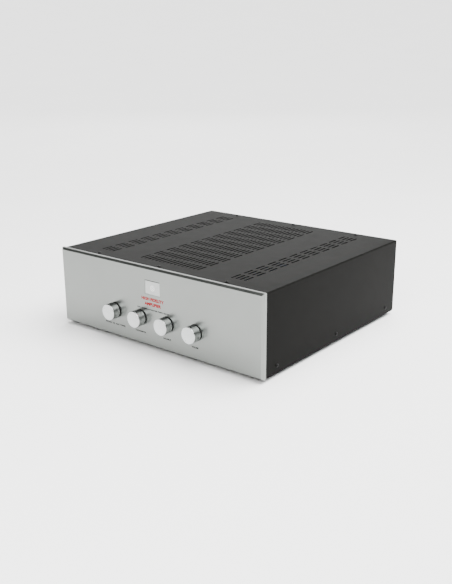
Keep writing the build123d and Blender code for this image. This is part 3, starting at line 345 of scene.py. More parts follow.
def laminations():
    """Stacked steel sheets under dark varnish: lines across the stack."""
    s = Shader("laminations", Metallic=0.6, Roughness=0.5)
    base = (0.09, 0.085, 0.085)
    parts = s.node("ShaderNodeSeparateXYZ", {"Vector": s.place})
    turns = 2 * math.pi / LAMINATION_PITCH
    wave = s.node("ShaderNodeMath", {0: parts.outputs["Y"], 1: turns}, operation="MULTIPLY")
    lines = s.node("ShaderNodeMath", {0: wave.outputs[0]}, operation="SINE").outputs[0]
    s.colour(s.mix(s.span(s.noise(120.0, 4.0), 0, 1), shade(base, 0.7), shade(base, 1.5)))
    s.bump((s.span(lines, 0, 1, (-1, 1)), 0.1 * MM, 0.5))
    return s.material


def winding():
    """Copper winding under amber tape."""
    s = Shader("winding", Roughness=0.45, Coat_Weight=0.3)
    base = (0.42, 0.20, 0.06)
    s.colour(s.mix(s.span(s.noise(60.0, 4.0), 0, 1), shade(base, 0.7), shade(base, 1.2)))
    s.bump((s.noise(300.0, 3.0, s.stretched(0.1, 0.1, 4.0)), 0.2 * MM, 0.4))
    return s.material


def solder_mask():
    s = Shader("solder_mask", Roughness=0.35, Coat_Weight=0.4)
    base = (0.015, 0.11, 0.05)
    tracks = s.node(
        "ShaderNodeTexBrick",
        {"Vector": s.place, "Scale": 45.0, "Mortar Size": 0.04, "Mortar Smooth": 0.1},
    )
    tracks.inputs["Color1"].default_value = shade(base, 1.0)
    tracks.inputs["Color2"].default_value = shade(base, 1.15)
    tracks.inputs["Mortar"].default_value = shade(base, 1.9)
    s.colour(tracks.outputs["Color"])
    s.bump((tracks.outputs["Fac"], 0.05 * MM, 0.4))
    return s.material


def glazed(name, base):
    s = Shader(name, Roughness=0.22, Coat_Weight=0.5)
    s.colour(s.mix(s.span(s.noise(150.0, 4.0), 0, 1), shade(base, 0.92), shade(base, 1.05)))
    s.bump((s.noise(500.0, 2.0), 0.03 * MM, 0.2))
    return s.material


def valve_glass():
    s = Shader("valve_glass", Roughness=0.03, IOR=1.47, Transmission_Weight=1.0)
    s.colour(s.mix(s.span(s.noise(80.0), 0, 1), (0.93, 0.96, 0.96, 1), (0.97, 0.99, 0.99, 1)))
    s.bump((s.noise(120.0, 2.0), 0.05 * MM, 0.1))
    return s.material


def sleeve(name, base):
    """Shrunk plastic sleeve of a capacitor: glossy, with faint vertical drag lines."""
    s = Shader(name, Roughness=0.25, Coat_Weight=0.5)
    drag = s.noise(220.0, 3.0, s.stretched(1.0, 1.0, 0.05))
    s.colour(s.mix(s.span(drag, 0, 1), shade(base, 0.85), shade(base, 1.2)))
    s.bump((drag, 0.05 * MM, 0.3))
    return s.material


def ink(name, base):
    """Screen-printed ink: slightly uneven cover and edge."""
    s = Shader(name, Roughness=0.55, Specular_IOR_Level=0.0)
    s.colour(s.mix(s.span(s.noise(900.0, 3.0), 0, 1), shade(base, 0.85), shade(base, 1.15)))
    s.bump((s.noise(3000.0, 2.0), 0.01 * MM, 0.3))
    return s.material


def badge_metal():
    s = Shader("badge_metal", Metallic=0.6, Roughness=0.42)
    base = (0.40, 0.41, 0.40)
    s.colour(s.mix(s.span(s.noise(500.0, 3.0), 0, 1), shade(base, 0.94), shade(base, 1.05)))
    s.bump((s.noise(2200.0, 2.0), 0.03 * MM, 0.3))
    return s.material


# ================================================================ mesh helpers
SHARP = math.radians(32)


def finish_mesh(name, bm, material, body, node=None, place=None):
    """Makes a piece of the mesh, gives it its material and lets it ride on its body."""
    bmesh.ops.remove_doubles(bm, verts=bm.verts, dist=1e-7)
    bmesh.ops.recalc_face_normals(bm, faces=bm.faces)
    mesh = bpy.data.meshes.new(name)
    bm.to_mesh(mesh)
    bm.free()
    for polygon in mesh.polygons:
        polygon.use_smooth = True
    mesh.set_sharp_from_angle(angle=SHARP)
    mesh.materials.append(material)
    piece = bpy.data.objects.new(name, mesh)
    bpy.context.scene.collection.objects.link(piece)
    piece.modifiers.new("flat_faces", "WEIGHTED_NORMAL").keep_sharp = True
    if place:
        piece.matrix_world = place
    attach(piece, body)
    if node:
        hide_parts(node)
    return piece


def facing(axis, origin):
    """Matrix that carries local +Z to the axis, at the origin."""
    turn = Z_AXIS.rotation_difference(Vector(axis)).to_matrix().to_4x4()
    return Matrix.Translation(origin) @ turn


def rounded(profile, radius, steps=3):
    """The (r, z) profile with each inner corner rounded, as far as its legs allow."""
    made = [Vector(profile[0])]
    for before, corner, after in zip(profile, profile[1:], profile[2:]):
        before, corner, after = Vector(before), Vector(corner), Vector(after)
        cut = min(radius, (corner - before).length * 0.4, (after - corner).length * 0.4)
        start = corner + (before - corner).normalized() * cut
        end = corner + (after - corner).normalized() * cut
        for step in range(steps + 1):
            t = step / steps
            made.append(start.lerp(corner, t).lerp(corner.lerp(end, t), t))
    made.append(Vector(profile[-1]))
    return made


def lathe(bm, profile, place, segments=64, wobble=None):
    """Adds the profile of (r, z) points turned about local Z. wobble(angle) scales the radius."""
    rings = []
    for r, z in profile:
        if r < 1e-9:
            rings.append([bm.verts.new(place @ Vector((0, 0, z)))])
            continue
        ring = []
        for index in range(segments):
            angle = 2 * math.pi * index / segments
            reach = r + (wobble(angle, r, z) if wobble else 0.0)
            ring.append(bm.verts.new(place @ Vector((reach * math.cos(angle), reach * math.sin(angle), z))))
        rings.append(ring)
    for low, high in zip(rings, rings[1:]):
        if len(low) == 1 and len(high) == 1:
            continue
        for index in range(segments):
            after = (index + 1) % segments
            below = [low[index % len(low)], low[after % len(low)]]
            above = [high[after % len(high)], high[index % len(high)]]
            bm.faces.new(list(dict.fromkeys([*below, *above])))
    return bm


def rod(r, length):
    """Closed profile of a solid cylinder that starts at z = 0."""
    return [(0, 0), (r, 0), (r, length), (0, length)]


def tube(inner, outer, length):
    """Closed profile of a plain tube that starts at z = 0."""
    return [(inner, 0), (outer, 0), (outer, length), (inner, length), (inner, 0)]


def hexed(across):
    """Wobble that turns radii near a hexagon's into that hexagon, of the size across its flats."""
    corner = across / math.sqrt(3)

    def wobble(angle, r, z):
        if abs(r - corner) > 1e-7:
            return 0.0
        step = math.pi / 3
        return across / 2 / math.cos(angle % step - step / 2) - r

    return corner, wobble


def thread(r, start, end, pitch=0.6 * MM, depth=0.18 * MM):
    """(r, z) points of thread-like ridges between two heights."""
    count = max(1, round(abs(end - start) / pitch))
    points = []
    for index in range(count):
        for share, drop in ((0.0, 1), (0.35, 0), (0.65, 0)):
            points.append((r - depth * drop, start + (end - start) * (index + share) / count))
    return [*points, (r - depth, end)]


def islands(node):
    """Boxes (low, high) of the separate solids of a CAD node, from left to right."""
    bm = bmesh.new()
    bm.from_mesh(frame["nodes"][node].data)
    bmesh.ops.remove_doubles(bm, verts=bm.verts, dist=1e-6)
    waiting = set(bm.verts)
    boxes = []
    while waiting:
        stack = [waiting.pop()]
        found = []
        while stack:
            vert = stack.pop()
            found.append(vert.co.copy())
            for edge in vert.link_edges:
                other = edge.other_vert(vert)
                if other in waiting:
                    waiting.discard(other)
                    stack.append(other)
        low = Vector([min(co[i] for co in found) for i in range(3)])
        high = Vector([max(co[i] for co in found) for i in range(3)])
        boxes.append((low, high))
    bm.free()
    return sorted(boxes, key=lambda box: (round(box[0].x, 5), round(box[0].y, 5), round(box[0].z, 5)))


def centre(box):
    return (box[0] + box[1]) / 2


def softened(node, width, material):
    """A finer copy of a CAD node, its sharp edges rounded over by the width."""
    bm = bmesh.new()
    bm.from_mesh(frame["nodes"][node].data)
    bmesh.ops.remove_doubles(bm, verts=bm.verts, dist=1e-6)
    bmesh.ops.dissolve_limit(bm, angle_limit=math.radians(0.6), verts=bm.verts, edges=bm.edges)
    sharp = [e for e in bm.edges if len(e.link_faces) == 2 and e.calc_face_angle(0) > SHARP]
    bmesh.ops.bevel(
        bm,
        geom=sharp,
        offset=width,
        offset_type="OFFSET",
        segments=2,
        profile=0.5,
        affect="EDGES",
        clamp_overlap=True,
    )
    return finish_mesh(node + "_fine", bm, material, body_of(node), node)


def body_of(node):
    bodies = frame["record"]["behaviour"]["bodies"]
    return next(body for body, members in bodies.items() if node in members)


def cut(piece, cutter_bm):
    """Takes the closed cutter mesh out of a piece."""
    bmesh.ops.recalc_face_normals(cutter_bm, faces=cutter_bm.faces)
    mesh = bpy.data.meshes.new("cutter")
    cutter_bm.to_mesh(mesh)
    cutter_bm.free()
    cutter = bpy.data.objects.new("cutter", mesh)
    bpy.context.scene.collection.objects.link(cutter)
    modifier = piece.modifiers.new("cut", "BOOLEAN")
    modifier.object = cutter
    modifier.solver = "EXACT"
    bpy.context.view_layer.update()
    evaluated = piece.evaluated_get(bpy.context.evaluated_depsgraph_get())
    result = bpy.data.meshes.new_from_object(evaluated)
    piece.modifiers.remove(modifier)
    old = piece.data
    piece.data = result
    bpy.data.meshes.remove(old)
    bpy.data.objects.remove(cutter)
    for polygon in piece.data.polygons:
        polygon.use_smooth = True
    piece.data.set_sharp_from_angle(angle=SHARP)


# ================================================================ front
KNOB_RIM = 1.6 * MM
DISH_DEPTH = 0.85 * MM
KNOB_BORE = 3.05 * MM
KNOB_FACE_T = 4.0 * MM  # metal between the end of the bore and the face
KNOB_BACK_EDGE = 0.4 * MM
KNOB_FRONT_EDGE = 0.5 * MM
KNOB_ROUNDING = 0.2 * MM
GRUB_HOLE_R = 1.6 * MM
RING_BORE = 5 * MM
RING_ROUNDING = 0.3 * MM
DOT_R = 0.55 * MM
DOT_SUNK = 0.3 * MM
DOT_EDGE = 0.02 * MM  # how far its edge and its middle stand above the face
DOT_MIDDLE = 0.05 * MM
DOT_REACH = 11.0 * MM
DOT_ANGLE = {"selector": -60, "monitor": -30, "balance": 0, "volume": -150}


def knob_place(name):
    """Matrix with its origin at the back of the knob and +Z out of its face."""
    low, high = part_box(f"{name}_knob")
    return facing(FRONT, Vector((centre((low, high)).x, high.y, KNOB_Z)))


def make_knob(name, material):
    """Turned knob with a dished face, a bore for its shaft and a grub screw hole underneath."""
    low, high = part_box(f"{name}_knob")
    r = (high.x - low.x) / 2
    length = high.y - low.y
    depth = length - KNOB_FACE_T
    dish_r = r - KNOB_RIM
    profile = [
        (0, depth),
        (KNOB_BORE, depth),
        (KNOB_BORE, 0),
        (r - KNOB_BACK_EDGE, 0),
        (r, KNOB_BACK_EDGE),
        (r, length - KNOB_FRONT_EDGE),
        (r - KNOB_FRONT_EDGE, length),
        (dish_r, length),
    ]
    dish = [(dish_r * t, length - DISH_DEPTH * (1 - t * t)) for t in (0.9, 0.75, 0.6, 0.45, 0.3, 0.15, 0)]
    bm = lathe(bmesh.new(), [*rounded(profile, KNOB_ROUNDING), *dish], HERE, segments=128)
    place = knob_place(name)
    knob = finish_mesh(
        f"{name}_knob_turned", bm, material, f"{name}_control", f"{name}_knob", place
    )
    grub = centre(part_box(f"{name}_grub_screw"))
    hole_place = facing(-Z_AXIS, Vector((grub.x, grub.y, KNOB_Z - KNOB_BORE)))
    hole = lathe(bmesh.new(), rod(GRUB_HOLE_R, r), hole_place, segments=32)
    hole.transform(knob.matrix_world.inverted())
    cut(knob, hole)
    return knob


def make_index_dot(name, material):
    """Small filled dot on the knob's face."""
    low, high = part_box(f"{name}_knob")
    dish_r = (high.x - low.x) / 2 - KNOB_RIM
    height = high.y - low.y - DISH_DEPTH * (1 - (DOT_REACH / dish_r) ** 2)
    base = height - DOT_SUNK
    profile = [(0, base), (DOT_R, base), (DOT_R, height + DOT_EDGE), (0, height + DOT_MIDDLE)]
    angle = math.radians(DOT_ANGLE[name])
    shift = Vector((DOT_REACH * math.sin(angle), 0, DOT_REACH * math.cos(angle)))
    place = Matrix.Translation(shift) @ knob_place(name)
    bm = lathe(bmesh.new(), profile, HERE, segments=24)
    finish_mesh(f"{name}_index_dot", bm, material, f"{name}_control", place=place)


def make_knob_shade_rings(material):
    """Dark felt washers between the knobs and the panel, whose black is painted shade standing in for the
    shaded gap behind each knob.
    """
    bm = bmesh.new()
    for low, high in islands("knob_washers"):
        r = (high.x - low.x) / 2
        place = facing(FRONT, Vector((centre((low, high)).x, high.y, KNOB_Z)))
        thick = high.y - low.y
        lathe(bm, rounded(tube(RING_BORE, r, thick), RING_ROUNDING), place, segments=96)
    finish_mesh("knob_rings_painted_shade", bm, material, "chassis", "knob_washers")


def text_mesh(words, place, width, height, depth, boldness=0.045):
    """Raised lettering in the place's XY plane, centred on X, fitted to its width and height."""
    curve = bpy.data.curves.new("words", "FONT")
    curve.body = words
    curve.resolution_u = 3
    curve.offset = boldness
    curve.extrude = 0.5
    carrier = bpy.data.objects.new("words", curve)
    bpy.context.scene.collection.objects.link(carrier)
    bpy.context.view_layer.update()
    evaluated = carrier.evaluated_get(bpy.context.evaluated_depsgraph_get())
    mesh = bpy.data.meshes.new_from_object(evaluated)
    bpy.data.objects.remove(carrier)
    xs = [v.co.x for v in mesh.vertices]
    ys = [v.co.y for v in mesh.vertices]
    wide, tall = max(xs) - min(xs), max(ys) - min(ys)
    for v in mesh.vertices:
        x = ((v.co.x - min(xs)) / wide - 0.5) * width
        y = (v.co.y - min(ys)) / tall * height
        v.co = place @ Vector((x, y, depth * (v.co.z + 0.5)))
    bm = bmesh.new()
    bm.from_mesh(mesh)
    bpy.data.meshes.remove(mesh)
    return bm


def on_front(x, z):
    """Matrix for lettering on the front panel's face."""
    return Matrix.Translation((x, PANEL_LOW.y, z)) @ Matrix.Rotation(math.pi / 2, 4, "X")


def on_rear(x, z):
    """Matrix for lettering on the rear panel's face, read from behind."""
    turn = Matrix.Rotation(math.pi, 4, "Z") @ Matrix.Rotation(math.pi / 2, 4, "X")
    return Matrix.Translation((x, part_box("rear_panel")[1].y, z)) @ turn


PRINT_DEPTH = 0.05 * MM
SMALL_TEXT = 2.7 * MM
LABEL_Z = PANEL_LOW.z + 20.6 * MM
LABELS = {
    "selector": ("PHONO  CD  AUX  TUNER", 48 * MM),
    "monitor": ("TAPE MONITOR", 24 * MM),
    "balance": ("BALANCE", 16.0 * MM),
    "volume": ("VOLUME", 14.0 * MM),
}
# words, lower edge above the panel's lower edge, width, height
RED_LINES = (
    ("HIGH FIDELITY", 79.6 * MM, 50 * MM, 5.6 * MM),
    ("AMPLIFIER", 71.2 * MM, 37 * MM, 5.6 * MM),
)
SMALL_LINE = ("TWO CHANNEL INTEGRATED STEREO CIRCUIT", 63.4 * MM, 72 * MM, 2.1 * MM)


def print_words(name, words, place, width, height, material):
    finish_mesh(name, text_mesh(words, place, width, height, PRINT_DEPTH), material, "chassis")


def make_lettering(black, red):
    """Generic control names and a generic description, screen-printed on the front."""
    for name, (words, width) in LABELS.items():
        place = on_front(centre(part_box(f"{name}_knob")).x, LABEL_Z)
        print_words(f"{name}_label", words, place, width, SMALL_TEXT, black)
    for index, (words, height, width, tall) in enumerate(RED_LINES):
        place = on_front(0, PANEL_LOW.z + height)
        print_words(f"front_words_{index + 1}", words, place, width, tall, red)
    words, height, width, tall = SMALL_LINE
    print_words("front_small_words", words, on_front(0, PANEL_LOW.z + height), width, tall, black)


REAR_TEXT = 3.0 * MM
REAR_SMALL_TEXT = REAR_TEXT * 0.8
REAR_LETTER_WIDTH = 2.3 * MM
INPUT_NAMES = ("LINE 1", "LINE 2", "LINE 3", "LINE 4", "TAPE IN", "TAPE OUT")
INPUT_NAME_LIFT = 11 * MM  # above the upper row's centres
ROW_NAME_SHIFT = 16 * MM  # beside the first column
SPEAKER_NAME_LIFT = 16 * MM
SPEAKER_NAME_WIDTH = 30 * MM
SIGN_DROP = 15 * MM  # below the studs' centres
SIGN_WIDTH = 3 * MM
SIGNS = {"positive": ("+", 3 * MM), "negative": ("-", 0.6 * MM)}
MAINS_NAME_LIFT = 4 * MM
MAINS_NAMES = (("mains_inlet", "AC POWER", 19 * MM), ("rocker_frame", "POWER", 13 * MM))


def rear_words(name, words, x, z, width, height, material):
    print_words(f"rear_{name}", words, on_rear(x, z), width, height, material)


def make_input_names(white):
    shells = islands("input_socket_shells")
    columns = sorted({round(centre(box).x, 4) for box in shells})
    rows = sorted({round(centre(box).z, 4) for box in shells})
    above = rows[1] + INPUT_NAME_LIFT
    for index, (x, words) in enumerate(zip(columns, INPUT_NAMES)):
        width = REAR_LETTER_WIDTH * len(words)
        rear_words(f"input_{index + 1}", words, x, above, width, REAR_SMALL_TEXT, white)
    side = columns[0] - ROW_NAME_SHIFT
    for z, words in zip(rows, ("R", "L")):
        rear_words(f"row_{words}", words, side, z - REAR_TEXT / 2, REAR_SMALL_TEXT, REAR_TEXT, white)


def make_speaker_names(white):
    studs = {name: centre(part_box(f"{name}_nut")) for name in TERMINALS}
    for channel in ("left", "right"):
        middle = (studs[f"{channel}_positive"] + studs[f"{channel}_negative"]) / 2
        words = f"{channel.upper()} SPEAKER"
        above = middle.z + SPEAKER_NAME_LIFT
        rear_words(f"{channel}_speaker", words, middle.x, above, SPEAKER_NAME_WIDTH, REAR_TEXT, white)
        for sign, (mark, height) in SIGNS.items():
            stud = studs[f"{channel}_{sign}"]
            below = stud.z - SIGN_DROP - height / 2
            rear_words(f"{channel}_{sign}", mark, stud.x, below, SIGN_WIDTH, height, white)


def make_rear_lettering(white):
    """Generic names beside the rear connections, in pale print on the dark sheet."""
    make_input_names(white)
    make_speaker_names(white)
    for node, words, width in MAINS_NAMES:
        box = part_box(node)
        rear_words(node, words, centre(box).x, box[1].z + MAINS_NAME_LIFT, width, REAR_TEXT, white)


def ribbon(bm, points, width, face_y, depth):
    """Raised line of constant width through (x, z) points, on a face that looks along -Y."""
    sides = []
    for index, point in enumerate(points):
        before = points[max(0, index - 1)]
        after = points[min(len(points) - 1, index + 1)]
        along = (Vector(after) - Vector(before)).normalized()
        across = Vector((-along.y, along.x)) * width / 2
        sides.append((Vector(point) + across, Vector(point) - across))
    rings = []
    for left, right in sides:
        corners = [(left, 0), (left, depth), (right, depth), (right, 0)]
        rings.append([bm.verts.new((p.x, face_y - lift, p.y)) for p, lift in corners])
    for low, high in zip(rings, rings[1:]):
        for index in range(4):
            after = (index + 1) % 4
            bm.faces.new((low[index], low[after], high[after], high[index]))
    bm.faces.new(rings[0])
    bm.faces.new(rings[-1])


BADGE_LINE = 0.9 * MM
BADGE_RINGS = (2.2 * MM, 4.6 * MM)  # outer radii
BADGE_RING_WIDTH = 0.7 * MM
BADGE_RECESS = 0.15 * MM
BADGE_RING_DEPTH = 0.12 * MM


def make_badge(plate, enamel, black):
    """Pale plate with two plain rings in its recess, and a thin dark line on the panel just above it."""
    softened("badge_plate", 0.12 * MM, plate)
    low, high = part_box("badge_plate")
    middle = centre((low, high))
    place = facing(FRONT, Vector((middle.x, low.y + BADGE_RECESS, middle.z)))
    bm = bmesh.new()
    for outer in BADGE_RINGS:
        lathe(bm, tube(outer - BADGE_RING_WIDTH, outer, BADGE_RING_DEPTH), place)
    finish_mesh("badge_rings", bm, enamel, "chassis")
    bm = bmesh.new()
    height = high.z + BADGE_LINE
    ribbon(bm, ((low.x, height), (high.x, height)), BADGE_LINE, PANEL_LOW.y, PRINT_DEPTH)
    finish_mesh("badge_line", bm, black, "chassis")


# ================================================================ fasteners and feet
def make_cover_screws(material):
    """Button heads with a hexagon socket."""
    bm = bmesh.new()
    middle = centre(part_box("top_cover"))
    for box in islands("cover_screws"):
        size = box[1] - box[0]
        place = centre(box)
        axis = Z_AXIS if size.z > max(size.x, size.y) else X_AXIS * math.copysign(1, place.x - middle.x)
        reach = max(size.x, size.y, size.z) / 2
        button_screw(bm, facing(axis, place + axis * reach), min(size.x, size.y, size.z) / 2)
    finish_mesh("cover_screws_turned", bm, material, "chassis", "cover_screws")


SCREW_HEAD = 1.6 * MM
SCREW_SOCKET_R = 1.1 * MM
SCREW_SOCKET_DEPTH = SCREW_HEAD * 0.65
SCREW_SOCKET_POINT = 0.3 * MM
SCREW_FLAT_R = SCREW_SOCKET_R * 1.35  # flat top round the socket
SCREW_SHANK_R = 1.4 * MM
SCREW_SHANK = 5.8 * MM
DOME_ANGLES = (0, 0.3, 0.6, 0.9, 1.2, math.pi / 2)


def socket_wobble(angle, radius, z):
    """Draws the radii of the screw's socket in to a hexagon."""
    if radius > SCREW_SOCKET_R * 1.001:
        return 0.0
    step = math.pi / 3
    return radius * (math.cos(step / 2) / math.cos((angle % step) - step / 2) - 1)


def button_screw(bm, place, r):
    """Domed head whose top is at the place's origin, with a hexagonal socket and a shank."""
    dome = []
    for angle in DOME_ANGLES:
        reach = SCREW_FLAT_R + (r - SCREW_FLAT_R) * math.sin(angle)
        dome.append((reach, SCREW_HEAD * (math.cos(angle) - 1)))
    end = -SCREW_HEAD - SCREW_SHANK
    profile = [
        (0, -SCREW_SOCKET_DEPTH - SCREW_SOCKET_POINT),
        (SCREW_SOCKET_R, -SCREW_SOCKET_DEPTH),
        (SCREW_SOCKET_R, 0),
        *dome,
        (r, -SCREW_HEAD),
        (SCREW_SHANK_R, -SCREW_HEAD),
        (SCREW_SHANK_R, end),
        (0, end),
    ]
    lathe(bm, profile, place, segments=48, wobble=socket_wobble)


FOOT_BORE = 2.0 * MM
FOOT_RECESS_R = 5.0 * MM
FOOT_RECESS = 3.6 * MM
FOOT_TREAD = 2.2 * MM  # how far the sole is narrower than the foot
FOOT_SHOULDER = (0.4 * MM, 1.6 * MM)
FOOT_ROUNDING = 0.5 * MM


def make_feet(material):
    """Tapered rubber feet with a recess for the screw's head."""
    bm = bmesh.new()
    for box in islands("rubber_feet"):
        middle = centre(box)
        r = (box[1].x - box[0].x) / 2
        tall = box[1].z - box[0].z
        profile = [
            (FOOT_BORE, FOOT_RECESS),
            (FOOT_RECESS_R, FOOT_RECESS),
            (FOOT_RECESS_R, 0),
            (r - FOOT_TREAD, 0),
            (r - FOOT_SHOULDER[0], FOOT_SHOULDER[1]),
            (r, tall),
            (FOOT_BORE, tall),
            (FOOT_BORE, FOOT_RECESS),
        ]
        place = Matrix.Translation((middle.x, middle.y, 0))
        lathe(bm, rounded(profile, FOOT_ROUNDING), place, segments=64)
    finish_mesh("feet_moulded", bm, material, "chassis", "rubber_feet")


# ================================================================ rear connections
def rear_place(box):
    """Matrix with its origin at the middle of the box's near end and +Z away from the amplifier's front."""
    middle = centre(box)
    return facing(Y_AXIS, Vector((middle.x, box[0].y, middle.z)))


SHELL_BORE = 3.3 * MM
SHELL_THREAD_R = 4.0 * MM
SHELL_HEX = 11.5 * MM  # across flats
SHELL_HEX_T = 2.0 * MM
BARREL_R = 4.15 * MM
BARREL_LENGTH = 8.5 * MM
BARREL_BEVEL = (0.3 * MM, 0.4 * MM)
CONTACT_TAIL_R = 1.0 * MM
CONTACT_TAIL = 5 * MM
CONTACT_R = 2.1 * MM
CONTACT_BORE = 1.6 * MM
CONTACT_BORE_END = 11 * MM
CONTACT_LIP = 0.25 * MM


def make_input_shells(gold):
    """Threaded shells with a hexagon and a smooth barrel."""
    corner, wobble = hexed(SHELL_HEX)
    bm = bmesh.new()
    for box in islands("input_socket_shells"):
        long = box[1].y - box[0].y
        barrel = long - BARREL_LENGTH
        hexagon = barrel - SHELL_HEX_T
        profile = [
            (SHELL_BORE, long),
            (SHELL_BORE, 0),
            *thread(SHELL_THREAD_R, 0, hexagon),
            (corner, hexagon),
            (corner, barrel),
            (BARREL_R, barrel),
            (BARREL_R, long - BARREL_BEVEL[1]),
            (BARREL_R - BARREL_BEVEL[0], long),
            (SHELL_BORE, long),
        ]
        lathe(bm, profile, rear_place(box), 72, wobble)
    finish_mesh("input_shells_turned", bm, gold, "chassis", "input_socket_shells")


def make_input_contacts(gold):
    """Centre contacts: a thin tail, then a sleeve with an open end."""
    bm = bmesh.new()
    for box in islands("input_socket_contacts"):
        long = box[1].y - box[0].y
        profile = [
            (0, 0),
            (CONTACT_TAIL_R - 0.2 * MM, 0),
            (CONTACT_TAIL_R, 0.3 * MM),
            (CONTACT_TAIL_R, CONTACT_TAIL),
            (CONTACT_R, CONTACT_TAIL),
            (CONTACT_R, long - 0.3 * MM),
            (CONTACT_R - CONTACT_LIP, long),
            (CONTACT_BORE, long - 0.2 * MM),
            (CONTACT_BORE, CONTACT_BORE_END),
            (0, CONTACT_BORE_END),
        ]
        lathe(bm, profile, rear_place(box), 32)
    finish_mesh("input_contacts_turned", bm, gold, "chassis", "input_socket_contacts")


def make_input_sockets(gold, insulator):
    make_input_shells(gold)
    make_input_contacts(gold)
    softened("input_socket_washers", 0.15 * MM, insulator)


STUD_R = 3 * MM
STUD_NUT = (10 * MM, 13 * MM)  # start and end of its hexagon
STUD_HEX = 10 * MM  # across flats
STUD_SOCKET_R = 2 * MM
STUD_SOCKET_DEPTH = 15 * MM
STUD_HOLE_R = 1.1 * MM
STUD_HOLES = (3 * MM, 21.95 * MM)  # cross holes, from the stud's inner end


def stud_profile(long, corner):
    start, end = STUD_NUT
    return [
        (0, 0),
        *thread(STUD_R, 0, start),
        (corner, start),
        (corner, end),
        *thread(STUD_R, end, long - 0.5 * MM),
        (STUD_R - 0.4 * MM, long),
        (STUD_SOCKET_R + 0.2 * MM, long),
        (STUD_SOCKET_R, long - 0.3 * MM),
        (STUD_SOCKET_R, long - STUD_SOCKET_DEPTH),
        (0, long - STUD_SOCKET_DEPTH),
    ]


def make_speaker_studs(gold):
    """Threaded studs with a plug socket in the end and two cross holes for wire."""
    corner, wobble = hexed(STUD_HEX)
    bm = bmesh.new()
    holes = []
    for box in islands("speaker_studs"):
        lathe(bm, stud_profile(box[1].y - box[0].y, corner), rear_place(box), 48, wobble)
        middle = centre(box)
        for reach in STUD_HOLES:
            holes.append(Vector((middle.x, box[0].y + reach, middle.z - 5 * MM)))
    studs = finish_mesh("speaker_studs_turned", bm, gold, "chassis", "speaker_studs")
    cutter = bmesh.new()
    for place in holes:
        lathe(cutter, rod(STUD_HOLE_R, 10 * MM), Matrix.Translation(place), 24)
    cut(studs, cutter)


FLUTES = 24
FLUTE_DEPTH = 0.25 * MM  # half the depth from crest to hollow
FLUTED_FROM = 0.93  # share of the radius where the flutes begin
FLUTE_BLEND = 0.04
NUT_BORE = 3.06 * MM
NUT_BEVEL = 1.0 * MM
NUT_GROOVE = (5.2 * MM, 6.2 * MM)  # inner and outer radius
NUT_GROOVE_DEPTH = 1.0 * MM
NUT_ROUNDING = 0.25 * MM


def make_thumb_nut(name, material):
    """Thumb nut with rounded flutes and a ring cut in its end."""
    node = f"{name}_nut"
    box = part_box(node)
    long = box[1].y - box[0].y
    r = (box[1].x - box[0].x) / 2
    plain = r * FLUTED_FROM

    def fluted(angle, reach, z):
        if reach < plain:
            return 0.0
        blend = min(1.0, (reach - plain) / (FLUTE_BLEND * r))
        return -FLUTE_DEPTH * (1 - math.cos(FLUTES * angle)) * blend

    inner, outer = NUT_GROOVE
    floor = long - NUT_GROOVE_DEPTH
    profile = [
        (NUT_BORE, long),
        (NUT_BORE, 0),
        (r - NUT_BEVEL, 0),
        (r, NUT_BEVEL),
        (r, long - NUT_BEVEL),
        (r - NUT_BEVEL, long),
        (outer, long),
        (outer, floor),
        (inner, floor),
        (inner, long),
        (NUT_BORE, long),
    ]
    bm = lathe(bmesh.new(), rounded(profile, NUT_ROUNDING), rear_place(box), FLUTES * 8, fluted)
    finish_mesh(f"{node}_fluted", bm, material, f"{name}_thumb_nut", node)


MARK_RING = (1.5 * MM, 2.0 * MM)
MARK_BAR = (0.5 * MM, 4.0 * MM)
MARK_SUNK = 0.2 * MM
MARK_PROUD = 0.12 * MM
MARK_BAR_T = 0.32 * MM


def make_rocker_marks(material):
    """Raised on and off marks on the two halves of the rocker, which ride with it."""
    mesh = frame["nodes"]["power_rocker"].data
    faces = {}
    for polygon in mesh.polygons:
        if polygon.normal.y > 0.9:
            key = polygon.center.z > centre(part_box("power_rocker")).z
            total = faces.setdefault(key, [0.0, Vector(), Vector()])
            total[0] += polygon.area
            total[1] += polygon.center * polygon.area
            total[2] += polygon.normal * polygon.area
    for upper, (area, place, normal) in faces.items():
        turn = facing(normal, place / area)
        bm = bmesh.new()
        if upper:
            inner, outer = MARK_RING
            ring = [(outer, -MARK_SUNK), (outer, MARK_PROUD), (inner, MARK_PROUD), (inner, -MARK_SUNK)]
            lathe(bm, [*ring, ring[0]], turn, 48)
        else:
            bmesh.ops.create_cube(bm, size=1.0, matrix=turn @ Matrix.Diagonal((*MARK_BAR, MARK_BAR_T, 1)))
        finish_mesh(f"rocker_mark_{'off' if upper else 'on'}", bm, material, "rocker")


# ================================================================ valves
GLASS_WALL = 1.0 * MM
GLASS_FOOT = 0.4 * MM  # height of the rounded lower edge
TIP_HEIGHT = 5 * MM
TIP = ((2.2 * MM, 5 * MM), (1.1 * MM, 2.5 * MM), (0.5 * MM, 0.5 * MM), (0, 0))  # radius, below the top
SHOULDER_STEPS = 14


def shoulder_arc(r, height, steps):
    """Points of a quarter circle, from its outer edge up towards the middle."""
    angles = [math.pi / 2 * index / SHOULDER_STEPS for index in range(steps)]
    return [(r * math.cos(angle), height + r * math.sin(angle)) for angle in angles]


